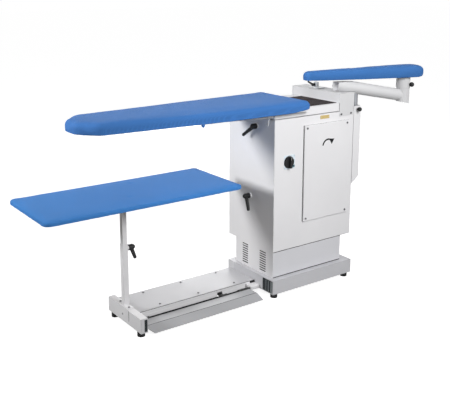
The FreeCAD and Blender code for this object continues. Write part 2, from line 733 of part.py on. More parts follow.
# Fan that draws air down the column and blows it out through the plinth
fan_x = cx + 300
fan_z = plinth_top + 303
vol_r = dim("volute_radius", 130)
motor_r = dim("motor_radius", 70)
motor_len = dim("motor_length", 130)
fan_shaft_r = dim("fan_shaft_radius", 7)
drum = rod(fan_x, fan_y0, fan_z, vol_r, fan_d, "Y")
spout = span(out_x0, fan_x + vol_r, fan_y0, fan_y1, floor_top, fan_z)
inner_drum = rod(fan_x, fan_y0 + 2, fan_z, vol_r - 2, fan_d - 4, "Y")
inner_spout = span(out_x0 + 2, fan_x + vol_r - 2, fan_y0 + 2, fan_y1 - 2, floor_top - 1, fan_z)
inlet = rod(fan_x, fan_y0 - 1, fan_z, 60, 5, "Y")
shaft_way = rod(fan_x, fan_y1 - 5, fan_z, fan_shaft_r + 4, 8, "Y")
done("fan_volute", cut(join(drum, spout), inner_drum, inner_spout, inlet, shaft_way))
motor_y0 = fan_y1
motor = join(
    rod(fan_x, motor_y0, fan_z, motor_r + 6, 5, "Y"),
    rod(fan_x, motor_y0 + 5, fan_z, motor_r, motor_len, "Y"),
)
motor_bore = rod(fan_x, motor_y0 - 1, fan_z, fan_shaft_r + run, 90, "Y")
done("fan_motor", cut(motor, motor_bore))
shaft_y0 = fan_y0 + 26
done("fan_shaft", rod(fan_x, shaft_y0, fan_z, fan_shaft_r, motor_y0 + 85 - shaft_y0, "Y"))
imp_r = dim("impeller_radius", 105)
imp_y1 = fan_y1 - 8
blades = []
for k in range(10):
    blade = doc.addObject("Part::Box", "Blade")
    bind(blade, "Length", imp_r - 57)
    bind(blade, "Width", fan_d - 30)
    blade.Height = 2.5
    angle = math.radians(36 * k)
    lead = Vector(55 * math.cos(angle), 0, 55 * math.sin(angle))
    blade.Placement = Placement(Vector(), Rotation(Vector(0, -1, 0), 36 * k + 18))
    blades.append(place(blade, fan_x + lead.x, fan_y0 + 18, fan_z + lead.z))
back_disc = rod(fan_x, imp_y1 - 4, fan_z, imp_r, 3, "Y")
ring = cut(rod(fan_x, fan_y0 + 16, fan_z, imp_r, 3, "Y"),
           rod(fan_x, fan_y0 + 15, fan_z, 62, 6, "Y"))
hub = rod(fan_x, shaft_y0 + 4, fan_z, 20, imp_y1 - 4 - shaft_y0 - 3, "Y")
shaft_bore = rod(fan_x, fan_y0, fan_z, fan_shaft_r, fan_d, "Y")
done("fan_impeller", cut(join(back_disc, ring, hub, *blades), shaft_bore))
mb_y0 = motor_y0 + 30
mb_y1 = motor_y0 + 110
saddle = join(
    span(fan_x - 60, fan_x + 60, mb_y0, mb_y0 + 4, floor_top, fan_z - 20),
    span(fan_x - 60, fan_x + 60, mb_y1 - 4, mb_y1, floor_top, fan_z - 20),
    span(fan_x - 60, fan_x + 60, mb_y0, mb_y1, floor_top, floor_top + 4),
)
motor_room = rod(fan_x, motor_y0, fan_z, motor_r, motor_len + 5, "Y")
done("cabinet_floor", join(floor, cut(saddle, motor_room)))

# Board unit: column, casing, duct and the board itself
gap = dim("casing_gap", 4)
case_z0 = cab_top + gap
board_z0 = cab_top + dim("board_rise", 30)
case_step = cx + dim("mat_from_left", 195)
case_x1 = bridge_x0 - 2
case_z1 = board_z0 + 12
column_z0 = plinth_top + 140
column = cut(
    span(column_x0, column_x1, column_y0, column_y1, column_z0, case_z0),
    span(column_x0 + tube_t, column_x1 - tube_t, column_y0 + tube_t, column_y1 - tube_t,
         column_z0 - 1, case_z0 + 1),
)
case_floor = span(cx + t, case_x1 - t, cy + t, cab_back - t, case_z0, case_z0 + t)
floor_hole = span(column_x0 + tube_t, column_x1 - tube_t, column_y0 + tube_t,
                  column_y1 - tube_t, case_z0 - 1, case_z0 + t + 1)
done("board_column", join(column, cut(case_floor, floor_hole)))
case = profile([
    (cx, case_z0),
    (case_x1, case_z0),
    (case_x1, case_z1),
    (case_step, case_z1),
    (case_step, board_z0),
    (cx, board_z0),
], "XZ", cy, cab_d)
case_room = profile([
    (cx + t, case_z0 - 1),
    (case_x1 - t, case_z0 - 1),
    (case_x1 - t, case_z1 - t),
    (case_step + t, case_z1 - t),
    (case_step + t, board_z0 - t),
    (cx + t, board_z0 - t),
], "XZ", cy + t, cab_d - t * 2)
air_x0, air_x1 = cx + 40, cx + 150
air_y0, air_y1 = cy + 90, cy + 210
case_air = span(air_x0, air_x1, air_y0, air_y1, board_z0 - t - 1, board_z0 + 1)
done("top_casing", cut(case, case_room, case_air))
mat_t = dim("mat_thickness", 2)
done("iron_mat", span(case_step + 6, case_x1 - 4, cy + 17, cy + 272, case_z1, case_z1 + mat_t))
duct_x0 = cx - dim("duct_reach", 380)
duct_y0 = cy + 8
duct_d = dim("duct_depth", 276)
duct_z0 = case_z0 + 7
duct = profile([(cx, duct_z0), (cx, board_z0), (duct_x0, board_z0), (duct_x0, board_z0 - 3)],
               "XZ", duct_y0, duct_d)
duct_room = profile([
    (cx - 3, duct_z0 + t + 0.2),
    (cx - 3, board_z0 + 1),
    (duct_x0 + 40, board_z0 + 1),
    (duct_x0 + 40, board_z0 - 3),
], "XZ", duct_y0 + t, duct_d - t * 2)
done("board_duct", cut(duct, duct_room))

# Padded board: pan, heater, perforated plate, felt and cover
board_x1 = case_step
board_len = dim("board_length", 1127)
board_wide = dim("board_wide_end", 378)
board_waist = dim("board_waist_width", 362)
board_narrow = dim("board_narrow_end", 262)
board_top = board_z0 + dim("board_thickness", 49)
board_y = cy + 150
waist_len = dim("board_waist_from_end", 495)
nose_len = dim("board_nose_length", 70)
nose_flat = dim("board_nose_flat", 100)
end_round = dim("board_end_radius", 26)
nose_round = dim("board_nose_radius", 62)
side_t = dim("board_cover_side", 7)
felt_t = dim("board_felt_thickness", 10)
cover_t = dim("board_cover_top", 5)
grid_t = dim("grid_thickness", 1.5)
board_x0 = board_x1 - board_len


def board_outline(inset, z0, z1):
    """The board's plan shape, drawn in by an inset all round."""
    x1 = board_x1 - inset
    x0 = board_x0 + inset
    wide = board_wide / 2 - inset
    waist = board_waist / 2 - inset
    narrow = board_narrow / 2 - inset
    flat = nose_flat / 2 - inset / 2
    waist_x = board_x1 - waist_len
    shoulder = board_x0 + nose_len + inset / 2
    corners = [
        (x1, board_y - wide), (x1, board_y + wide),
        (waist_x, board_y + waist), (shoulder, board_y + narrow),
        (x0, board_y + flat), (x0, board_y - flat),
        (shoulder, board_y - narrow), (waist_x, board_y - waist),
    ]
    body = profile(corners, "XY", z0, as_size(z1) - z0)
    for picked, radius in (
        (corners[:2], end_round - inset),
        (corners[3:7], nose_round - inset),
    ):
        tests = [upright_at(*c) for c in picked]
        fillet(body, lambda e: any(s(e) for s in tests), radius)
    return body


felt_top = board_top - cover_t
grid_top = felt_top - felt_t
pan_top = grid_top - grid_t
pan_shape = board_outline(side_t, board_z0, pan_top)
pan_room = board_outline(side_t + t, board_z0 + t, pan_top + 1)
pan_air = span(air_x0, air_x1, air_y0, air_y1, board_z0 - 1, board_z0 + t + 1)
done("board_pan", cut(pan_shape, pan_room, pan_air))
grid_shape = board_outline(side_t, pan_top, grid_top)
slots = []
for i in range(12):
    for j in range(4):
        x0 = board_x0 + 110 + 84 * i
        y0 = board_y - 98 + 56 * j
        slots.append(span(x0, x0 + 46, y0, y0 + 28, pan_top - 1, grid_top + 1))
done("board_grid", cut(grid_shape, *slots))
done("board_felt", board_outline(side_t, grid_top, felt_top))
skin = board_outline(0, board_z0, board_top)
fillet(skin, at_height(board_top), dim("board_edge_radius", 9))
done("board_cover", cut(skin, board_outline(side_t, board_z0 - 1, felt_top)))
heat_r = dim("heater_radius", 4)
heat_z = board_z0 + t + heat_r
heat_x0 = board_x0 + 130
heat_len = board_len - 260
bars = [rod(heat_x0, board_y + s * 55, heat_z, heat_r, heat_len, "X") for s in (-1, 1)]
bars.append(rod(heat_x0, board_y - 55, heat_z, heat_r, 110, "Y"))
elbows = [ball(heat_x0, board_y + s * 55, heat_z, heat_r) for s in (-1, 1)]
done("heating_element", join(*bars, *elbows))

# Bridge over the cabinet's right end, with an accessory socket
bridge_block = span(bridge_x0, cab_right, cy - t, cab_back, cab_top, bridge_top)
bridge_room = span(bridge_x0 + t, cab_right - t, cy, cab_back - t, cab_top - 1, bridge_top - t)
bridge_skirt = span(bridge_x0, cab_right, cy - t, cy, bridge_lip, cab_top + 5)
bridge = cut(join(bridge_block, bridge_skirt), bridge_room, *front_holes(bridge_screws))
done("bridge", bridge)
sock_x = bridge_x0 + 42
sock_y = cy + 215
sock_r = dim("socket_radius", 14)
sock_bore = dim("socket_bore_radius", 10)
acc_t = dim("accessory_plate_thickness", 4)
sock_h = dim("socket_height", 26)
acc_plate = span(sock_x - 24, sock_x + 24, sock_y - 38, sock_y + 38, bridge_top,
                 bridge_top + acc_t)
sock = join(acc_plate, rod(sock_x, sock_y, bridge_top, sock_r, acc_t + sock_h))
acc_z = bridge_top + acc_t + 14
acc_stud_r = dim("accessory_stud_radius", 3)
acc_way = rod(sock_x, sock_y, acc_z, acc_stud_r + run, 30, "-X")
done("accessory_socket", cut(sock, rod(sock_x, sock_y, bridge_top + acc_t, sock_bore, 60),
                             acc_way))
acc_hub = rod(sock_x - sock_r - 0.2, sock_y, acc_z, 8, 12, "-X")
acc_stud = rod(sock_x - sock_bore - 0.5, sock_y, acc_z, acc_stud_r, 12, "-X")
acc_grip = taper(sock_x - sock_r - 8, sock_y, acc_z, 5.5, 4.5, 34, Vector(-6, 30, 12))
done("accessory_lever", join(acc_hub, acc_stud, acc_grip))

# Mast that carries the sleeve arm
mast_w = dim("mast_width", 45)
mast_gap = dim("mast_spacer", 3)
mast_x0 = cab_right + mast_gap
mast_x1 = mast_x0 + mast_w
mast_y1 = cy + mast_w
mast_top = cab_top + 18
mast_z0 = plinth_top + 259
piv_x = mast_x0 + mast_w / 2
piv_y = cy + mast_w / 2
piv_r = dim("pivot_radius", 16.5)
lock_z = mast_top - 16
lock_r = dim("lock_stud_radius", 4)
mast_tube = box_tube_z(mast_x0, mast_x1, cy, mast_y1, mast_z0, mast_top, tube_t)
mast_end = profile([
    (mast_x0 - 1, mast_z0 - 2),
    (mast_x1 + 1, mast_z0 - 2),
    (mast_x1 + 1, mast_z0 + 35),
], "XZ", cy - 5, mast_w + 10)
spacers = [span(cab_right, mast_x0, cy + 6, mast_y1 - 6, z0, z0 + 60)
           for z0 in (mast_z0 + 45, cab_top - 70)]
lock_way = rod(piv_x, piv_y, lock_z, lock_r + run, 40, "-Y")
done("arm_mast", join(cut(mast_tube, mast_end, lock_way), *spacers))
bush_x0 = mast_x0 + tube_t
bush_x1 = mast_x1 - tube_t
bush_y0 = cy + tube_t
bush_y1 = mast_y1 - tube_t
low_z = mast_top - 178
piv_way = rod(piv_x, piv_y, low_z + 6, piv_r + run, 300)
lock_way = rod(piv_x, piv_y, lock_z, lock_r + run, 40, "-Y")
done("mast_bushes", cut(join(
    span(bush_x0, bush_x1, bush_y0, bush_y1, mast_top - 30, mast_top),
    span(bush_x0, bush_x1, bush_y0, bush_y1, low_z, low_z + 36),
), piv_way, lock_way))
lock_stud = rod(piv_x, piv_y - piv_r - run, lock_z, lock_r, 26, "-Y")
lock_ball = ball(piv_x, piv_y - piv_r - 22, lock_z, dim("lock_ball_radius", 11))
done("arm_lock_knob", join(lock_stud, lock_ball))

# Sleeve arm, built along its own axis from the pivot and then turned into place
arm_turn = dim("arm_angle", -13.05)
slope = dim("arm_slope", 10.75)
arm_r = dim("arm_radius", 30)
arm_wall = dim("arm_wall", 2.5)
arm_z = cab_top + 104
tail = dim("arm_tail", 110)
post_u = dim("arm_post_reach", 282)
end_post_r = dim("arm_post_radius", 34)
holder_z0 = cab_top + 91
buck_z0 = cab_top + dim("buck_rise", 146)
rake = math.radians(slope.value)
axis_dir = Vector(math.cos(rake), 0, -math.sin(rake))
drop = math.tan(rake)


def swing(obj):
    """Turn a finished arm piece about the pivot into its place."""
    obj.Placement = Placement(Vector(), Rotation(Vector(0, 0, 1), 0))
    obj.setExpression("Placement.Rotation.Angle", arm_turn.formula)
    return place(obj, piv_x, piv_y, 0)


def arm_bar(radius, tail_in, head_in):
    start = tail - tail_in
    length = (start + post_u - head_in) / math.cos(rake)
    return rod(0 - start, 0, arm_z + start * drop, radius, length, axis_dir)


def below_arm(lift):
    """A wedge under the tube's lower edge, raised by a wall thickness."""
    low = arm_z - arm_r / math.cos(rake) + lift
    return profile([
        (-200, low + 200 * drop),
        (post_u + 80, low - (post_u + 80) * drop),
        (post_u + 80, 600),
        (-200, 600),
    ], "XZ", -60, 120)


rest_z = bridge_top + 2
top_cap = buck_z0 - 8
post_lip = dim("arm_post_lip", 3)
outer_bar = arm_bar(arm_r, 0, 0)
end_post = cut(rod(post_u, 0, arm_z - 130, end_post_r, holder_z0 - arm_z + 130),
               below_arm(0 - post_lip))
inner_bar = cut(
    arm_bar(arm_r - arm_wall, 3, 0),
    span(-200, 300, -60, 60, top_cap - arm_wall, top_cap + 80),
    span(-200, piv_r, -60, 60, rest_z - 60, rest_z + arm_wall),
)
inner_post = cut(rod(post_u, 0, arm_z - 130, end_post_r - arm_wall, holder_z0 - arm_z + 118),
                 below_arm(arm_wall - post_lip))
spigot_r = dim("spigot_radius", 15)
spigot = rod(post_u, 0, holder_z0 - 10, spigot_r, buck_z0 - holder_z0 + 4)
collar_r = mast_w / 2 + mast_gap - 0.5
trims = [
    span(-200, 300, -60, 60, top_cap, top_cap + 80),
    cut(span(-200, 0, -60, 60, rest_z - 60, rest_z), rod(0, 0, rest_z - 70, collar_r, 80)),
]
tube = cut(join(outer_bar, end_post), inner_bar, inner_post, *trims)
done("arm_tube", swing(join(tube, spigot)))
pivot = cut(rod(0, 0, low_z + 6, piv_r, arm_z - low_z - 6), arm_bar(arm_r, 0, 0))
done("pivot_shaft", swing(pivot))

# Buck holder on the arm's spigot, with its lock knob
holder_r = dim("holder_radius", 36)
holder = rod(post_u, 0, holder_z0 + run, holder_r, buck_z0 - holder_z0 - run)
spigot_room = rod(post_u, 0, holder_z0 - 10, spigot_r + run, buck_z0 - holder_z0 + 6)
knob_dir = Vector(math.cos(math.radians(-60)), math.sin(math.radians(-60)), 0)
knob_z = holder_z0 + 18


def along_knob(distance, radius, length):
    return rod(post_u + knob_dir.x * distance, as_size(knob_dir.y) * distance, knob_z, radius,
               length, knob_dir)


done("buck_holder", swing(cut(holder, spigot_room, along_knob(10, lock_r + run, 40))))
buck_stud = along_knob(spigot_r.value + 0.1, lock_r, 26)
buck_ball = ball(post_u + knob_dir.x * 48, as_size(knob_dir.y) * 48, knob_z,
                 dim("buck_ball_radius", 12))
done("buck_lock_knob", swing(join(buck_stud, buck_ball)))

# Sleeve buck: frame, felt and cover
tip_u = dim("buck_tip", 283)
root_u = dim("buck_root", 385)
tip_half = dim("buck_tip_half_width", 27)
root_half = dim("buck_root_half_width", 60)
buck_top = buck_z0 + dim("buck_thickness", 60)
buck_side = dim("buck_cover_side", 6)


def buck_outline(inset, z0, z1):
    u0 = as_size(inset) - tip_u
    u1 = root_u - inset
    corners = [
        (u0, inset - tip_half), (u1, inset - root_half),
        (u1, root_half - inset), (u0, tip_half - inset),
    ]
    body = profile(corners, "XY", z0, as_size(z1) - z0)
    roots = [upright_at(*corners[1]), upright_at(*corners[2])]
    tips = [upright_at(*corners[0]), upright_at(*corners[3])]
    fillet(body, lambda e: any(s(e) for s in roots), 48 - as_size(inset))
    fillet(body, lambda e: any(s(e) for s in tips), 23 - as_size(inset))
    return body


buck_pan_top = buck_top - dim("buck_pad_thickness", 15)
buck_shape = buck_outline(buck_side, buck_z0, buck_pan_top)
buck_room = buck_outline(buck_side + t, buck_z0 + t, buck_pan_top + 1)
done("buck_frame", swing(cut(buck_shape, buck_room)))
buck_skin = buck_outline(0, buck_z0, buck_top)
fillet(buck_skin, at_height(buck_top), dim("buck_edge_radius", 12))
done("buck_cover", swing(cut(buck_skin, buck_outline(buck_side, buck_z0 - 1, buck_pan_top))))

# Check every sub-part and write its file
doc.recompute()
os.makedirs("parts", exist_ok=True)
for part in parts:
    if "Invalid" in part.State or "Error" in part.State:
        raise RuntimeError(f"{part.Label}: {part.State}")
    if part.Shape.isNull() or not part.Shape.isValid():
        raise RuntimeError(f"{part.Label}: shape is not valid")
    part.Shape.exportStep(f"parts/{part.Label}.step")
    solids = len(part.Shape.Solids)
    print(f"{part.Label}: {solids} solids, {part.Shape.Volume / 1000.0:.1f} cm3")
boxes = [part.Shape.optimalBoundingBox(False) for part in parts]
low = [min(getattr(b, k) for b in boxes) for k in ("XMin", "YMin", "ZMin")]
high = [max(getattr(b, k) for b in boxes) for k in ("XMax", "YMax", "ZMax")]
print("parts", len(parts), "low", low, "high", high)
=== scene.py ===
"""Looks of the ironing table: materials, cloth covers, small details, light and camera."""
import json
import math

import bpy
from mathutils import Matrix, Vector, noise
from mathutils.geometry import delaunay_2d_cdt


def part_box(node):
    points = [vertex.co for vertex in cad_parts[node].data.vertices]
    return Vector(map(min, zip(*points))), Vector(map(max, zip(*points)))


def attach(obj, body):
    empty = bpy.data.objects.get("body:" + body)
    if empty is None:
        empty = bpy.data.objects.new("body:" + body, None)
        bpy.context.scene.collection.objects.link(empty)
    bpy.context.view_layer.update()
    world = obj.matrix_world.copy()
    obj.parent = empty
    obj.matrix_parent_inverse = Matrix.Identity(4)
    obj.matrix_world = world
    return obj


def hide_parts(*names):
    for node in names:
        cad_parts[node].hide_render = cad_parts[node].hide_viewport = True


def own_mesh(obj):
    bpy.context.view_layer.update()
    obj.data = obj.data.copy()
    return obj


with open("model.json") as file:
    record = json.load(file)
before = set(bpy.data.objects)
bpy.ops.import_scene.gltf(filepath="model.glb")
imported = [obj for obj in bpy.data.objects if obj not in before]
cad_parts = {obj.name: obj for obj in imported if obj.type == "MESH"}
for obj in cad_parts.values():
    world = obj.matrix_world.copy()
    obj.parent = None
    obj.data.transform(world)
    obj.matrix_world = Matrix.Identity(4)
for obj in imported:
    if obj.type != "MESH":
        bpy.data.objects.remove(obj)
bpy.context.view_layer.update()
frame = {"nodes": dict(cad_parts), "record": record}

scene = bpy.context.scene
nodes = frame["nodes"]


# Materials


class Shader:
    """A principled material with short helpers for its texture nodes."""

    def __init__(self, name):
        self.mat = bpy.data.materials.new(name)
        self.mat.use_nodes = True
        self.tree = self.mat.node_tree
        self.bsdf = self.tree.nodes["Principled BSDF"]
        self.coords = self.node("ShaderNodeTexCoord").outputs["Object"]

    def node(self, kind, **values):
        made = self.tree.nodes.new(kind)
        for key, value in values.items():
            if hasattr(made, key):
                setattr(made, key, value)
            else:
                made.inputs[key.replace("_", " ").title()].default_value = value
        return made

    def link(self, source, target):
        self.tree.links.new(source, target)

    def set(self, **values):
        for key, value in values.items():
            self.bsdf.inputs[key.replace("_", " ")].default_value = value

    def stretched(self, scale):
        """The object coordinates, scaled by axis."""
        mapping = self.node("ShaderNodeMapping")
        mapping.inputs["Scale"].default_value = scale
        self.link(self.coords, mapping.inputs["Vector"])
        return mapping.outputs["Vector"]

    def noise(self, scale, detail=2.0, vector=None):
        made = self.node("ShaderNodeTexNoise")
        made.inputs["Scale"].default_value = scale
        made.inputs["Detail"].default_value = detail
        self.link(vector or self.coords, made.inputs["Vector"])
        return made.outputs["Fac"]

    def wave(self, scale, direction, distortion=0.0, vector=None):
        made = self.node("ShaderNodeTexWave", bands_direction=direction)
        made.inputs["Scale"].default_value = scale
        made.inputs["Distortion"].default_value = distortion
        made.inputs["Detail"].default_value = 1.0
        made.inputs["Detail Scale"].default_value = 1.5
        self.link(vector or self.coords, made.inputs["Vector"])
        return made.outputs["Fac"]

    def math(self, operation, a, b):
        made = self.node("ShaderNodeMath", operation=operation)
        for socket, value in zip(made.inputs, (a, b)):
            if isinstance(value, (int, float)):
                socket.default_value = value
            else:
                self.link(value, socket)
        return made.outputs[0]

    def span(self, source, low, high, start=0.3, end=0.7):
        """A texture value mapped to a range."""
        made = self.node("ShaderNodeMapRange")
        for key, value in (("From Min", start), ("From Max", end), ("To Min", low), ("To Max", high)):
            made.inputs[key].default_value = value
        self.link(source, made.inputs["Value"])
        return made.outputs["Result"]

    def mix(self, factor, a, b):
        """One colour where the factor is 0, the other where it is 1."""
        made = self.node("ShaderNodeMix", data_type="RGBA")
        if isinstance(factor, float):
            made.inputs["Factor"].default_value = factor
        else:
            self.link(factor, made.inputs["Factor"])
        for key, value in ((6, a), (7, b)):
            if isinstance(value, tuple):
                made.inputs[key].default_value = (*value, 1.0)
            else:
                self.link(value, made.inputs[key])
        return made.outputs[2]

    def soft_edges(self, radius):
        """Normals rounded over the part's sharp edges."""
        made = self.node("ShaderNodeBevel", samples=4)
        made.inputs["Radius"].default_value = radius
        return made.outputs["Normal"]

    def worn_edges(self, rounded):
        """1 along sharp edges and 0 on faces."""
        geometry = self.node("ShaderNodeNewGeometry")
        dot = self.node("ShaderNodeVectorMath", operation="DOT_PRODUCT")
        self.link(rounded, dot.inputs[0])
        self.link(geometry.outputs["Normal"], dot.inputs[1])
        return self.span(dot.outputs["Value"], 1.0, 0.0, 0.8, 0.985)

    def bump(self, height, distance, normal=None, strength=1.0):
        made = self.node("ShaderNodeBump")
        made.inputs["Strength"].default_value = strength
        made.inputs["Distance"].default_value = distance
        self.link(height, made.inputs["Height"])
        if normal is not None:
            self.link(normal, made.inputs["Normal"])
        self.link(made.outputs["Normal"], self.bsdf.inputs["Normal"])

    def colour(self, source):
        self.link(source, self.bsdf.inputs["Base Color"])

    def roughness(self, source):
        self.link(source, self.bsdf.inputs["Roughness"])


def tint(colour, factor):
    """A colour made lighter or darker."""
    return tuple(min(1.0, c * factor) for c in colour)


def paint(name, colour, edge=0.93, painted_shade_from=None):
    """Powder coat: fine orange peel, faint mottling, slightly rubbed edges, and near-black painted shade
    from a given depth on.
    """
    s = Shader(name)
    rounded = s.soft_edges(0.0016)
    mottle = s.span(s.noise(5.0, 3.0), 0.0, 1.0)
    base = s.mix(mottle, tint(colour, 0.975), tint(colour, 1.015))
    base = s.mix(s.worn_edges(rounded), base, tint(colour, edge))
    # Near-black painted shade past a given depth, for the shaded gap behind the pedal's hinge.
    if painted_shade_from is not None:
        place = s.node("ShaderNodeSeparateXYZ")
        s.link(s.coords, place.inputs[0])
        painted_shade = s.span(place.outputs["Y"], 0.0, 1.0, painted_shade_from - 0.002, painted_shade_from)
        base = s.mix(painted_shade, base, tint(colour, 0.04))
    s.colour(base)
    s.roughness(s.span(s.noise(11.0, 4.0), 0.36, 0.48))
    s.bump(s.noise(620.0, 2.0), 0.00012, rounded, 0.5)
    return s.mat


def plastic(name, colour, rough=0.42, gloss=0.5):
    """Moulded plastic with a fine spark-eroded grain."""
    s = Shader(name)
    s.set(Specular_IOR_Level=gloss)
    rounded = s.soft_edges(0.0012)
    mottle = s.span(s.noise(60.0, 2.0), 0.0, 1.0)
    base = s.mix(mottle, tint(colour, 0.85), tint(colour, 1.15))
    s.colour(s.mix(s.worn_edges(rounded), base, tint(colour, 1.6)))
    s.roughness(s.span(s.noise(90.0, 2.0), rough - 0.06, rough + 0.08))
    s.bump(s.noise(2600.0, 2.0), 0.00006, rounded, 0.6)
    return s.mat


def rubber(name, colour):
    """Dull rubber with dust and a moulded grain."""
    s = Shader(name)
    s.set(Specular_IOR_Level=0.2)
    rounded = s.soft_edges(0.0012)
    dust = s.span(s.noise(38.0, 6.0), 0.0, 0.35, 0.5, 0.75)
    s.colour(s.mix(dust, colour, tint(colour, 2.6)))
    s.roughness(s.span(s.noise(45.0, 3.0), 0.66, 0.84))
    s.bump(s.noise(900.0, 3.0), 0.00015, rounded, 0.6)
    return s.mat


def ribbed_mat(name, colour):
    """Heat-proof rest mat: fine ribs, scuffs and a faint bloom."""
    s = Shader(name)
    s.set(Specular_IOR_Level=0.15)
    ribs = s.wave(62.0, "Y")
    scuff = s.span(s.noise(22.0, 7.0), 0.0, 1.0, 0.45, 0.72)
    base = s.mix(ribs, tint(colour, 0.7), tint(colour, 1.2))
    s.colour(s.mix(s.math("MULTIPLY", scuff, 0.25), base, tint(colour, 2.0)))
    s.roughness(s.span(scuff, 0.62, 0.8, 0.0, 1.0))
    s.bump(s.math("ADD", ribs, s.math("MULTIPLY", s.noise(700.0), 0.3)), 0.0004)
    return s.mat


def steel(name, colour, rough=0.3, grain=(6.0, 6.0, 900.0)):
    """Plated steel with fine draw lines."""
    s = Shader(name)
    s.set(Metallic=1.0)
    rounded = s.soft_edges(0.0008)
    lines = s.noise(1.0, 3.0, s.stretched(grain))
    cloud = s.span(s.noise(30.0, 3.0), 0.0, 1.0)
    s.colour(s.mix(cloud, tint(colour, 0.9), tint(colour, 1.05)))
    s.roughness(s.span(lines, rough - 0.06, rough + 0.12))
    s.bump(lines, 0.00004, rounded, 0.5)
    return s.mat


def cloth(name, colour, sheen):
    """Woven cotton cover: crossing threads, soft fading and a little nap."""
    s = Shader(name)
    s.set(Sheen_Weight=sheen, Sheen_Roughness=0.45, Specular_IOR_Level=0.15)
    warp = s.wave(190.0, "X", 0.6)
    weft = s.wave(190.0, "Y", 0.6)
    threads = s.math("MAXIMUM", warp, weft)
    slub = s.noise(1.0, 3.0, s.stretched((30.0, 420.0, 420.0)))
    fade = s.span(s.noise(4.5, 5.0), 0.0, 1.0, 0.32, 0.68)
    base = s.mix(fade, tint(colour, 0.94), tint(colour, 1.06))
    thread = s.mix(s.span(threads, 0.0, 1.0, 0.5, 1.0), tint(colour, 0.84), base)
    s.colour(s.mix(s.span(slub, 0.0, 0.25, 0.4, 0.75), thread, tint(colour, 1.12)))
    s.roughness(s.span(slub, 0.78, 0.92))
    s.bump(s.math("ADD", threads, s.math("MULTIPLY", slub, 0.5)), 0.0004, None, 0.7)
    return s.mat


def plywood(name, colour):
    """Birch plywood with its grain and plies."""
    s = Shader(name)
    grain = s.noise(1.0, 6.0, s.stretched((8.0, 130.0, 130.0)))
    plies = s.wave(24.0, "Z", 0.4)
    base = s.mix(s.span(grain, 0.0, 1.0), tint(colour, 0.78), tint(colour, 1.1))
    s.colour(s.mix(s.span(plies, 0.0, 0.3, 0.6, 1.0), base, tint(colour, 0.6)))
    s.roughness(s.span(grain, 0.6, 0.8))
    s.bump(grain, 0.0003)
    return s.mat


def felt(name, colour):
    """Pressed wool felt."""
    s = Shader(name)
    s.set(Sheen_Weight=0.4)
    fibre = s.noise(420.0, 8.0)
    s.colour(s.mix(s.span(fibre, 0.0, 1.0), tint(colour, 0.85), tint(colour, 1.08)))
    s.roughness(s.span(fibre, 0.85, 0.98))
    s.bump(fibre, 0.0006)
    return s.mat


WHITE = (0.77, 0.765, 0.78)
GREY = (0.62, 0.62, 0.64)
BLUE = (0.0505, 0.176, 0.478)
# The shelf's lighter blue is painted light and the sleeve buck's darker blue is painted shade, on the same
# cloth as the board.
SHELF_LIT_BLUE = (0.055, 0.225, 0.585)
BUCK_SHADED_BLUE = (0.048, 0.167, 0.445)
SHEEN = 0.06

finish = {
    "white_paint": paint("white_powder_coat", WHITE),
    "grey_paint": paint("grey_powder_coat", GREY, 0.85),
    "motor_paint": paint("motor_enamel", (0.10, 0.13, 0.16), 1.3),
    "steel": steel("plated_steel", (0.60, 0.61, 0.62)),
    "aluminium": steel("cast_aluminium", (0.72, 0.73, 0.74), 0.38, (60.0, 60.0, 60.0)),
    "black_plastic": plastic("black_moulding", (0.012, 0.012, 0.013), 0.5, 0.25),
    "pale_plastic": plastic("pale_moulding", (0.62, 0.70, 0.78), 0.46),
    "black_rubber": rubber("black_rubber", (0.016, 0.016, 0.017)),
    "brown_rubber": ribbed_mat("brown_mat", (0.017, 0.010, 0.011)),
    "plywood": plywood("birch_plywood", (0.56, 0.40, 0.24)),
    "blue_cloth": cloth("blue_cotton", BLUE, SHEEN),
    "felt": felt("wool_felt", (0.62, 0.60, 0.55)),
}
hinge_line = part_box("hinge_rod")[0].y
# Darker copies of the white and grey paints on the sleeve arm, bridge, platform, plinth, base and pedal:
# painted shade.
arm_shaded_coat = paint("arm_shaded_powder_coat", (0.64, 0.64, 0.65))
platform_shaded_coat = paint("platform_shaded_powder_coat", (0.49, 0.49, 0.51), 0.92)
plinth_shaded_coat = paint("plinth_shaded_powder_coat", (0.65, 0.65, 0.68))
base_shaded_coat = paint("base_shaded_powder_coat", (0.55, 0.55, 0.575), 0.88)
own_finish = {
    "arm_tube": arm_shaded_coat,
    "buck_holder": arm_shaded_coat,
    "bridge": arm_shaded_coat,
    "platform_plate": platform_shaded_coat,
    "plinth_wrap": plinth_shaded_coat,
    "base_front_beam": base_shaded_coat,
    "base_rear_beam": base_shaded_coat,
    "base_plate": base_shaded_coat,
    "hinge_rod": steel("black_oxide_steel", (0.02, 0.02, 0.022), 0.5),
    "frame_screws": steel("dark_screw_steel", (0.20, 0.20, 0.21), 0.42, (60.0, 60.0, 60.0)),
    "pivot_shaft": steel("dull_shaft_steel", (0.30, 0.31, 0.33), 0.36),
    "switch_plate": plastic("switch_plate_moulding", (0.66, 0.74, 0.80), 0.46),
    "pedal": paint("pedal_shaded_powder_coat", (0.42, 0.425, 0.44), 0.88, hinge_line - 0.004),
}
# Black for the printed marks, and painted shade in the screw recesses and vent slots.
print_and_shade_black = plastic("black_print_and_shade", (0.010, 0.010, 0.012), 0.6, 0.2)
print_teal = plastic("teal_print", (0.03, 0.10, 0.13), 0.6, 0.2)
print_white = plastic("white_inlay", (0.60, 0.60, 0.58), 0.5)
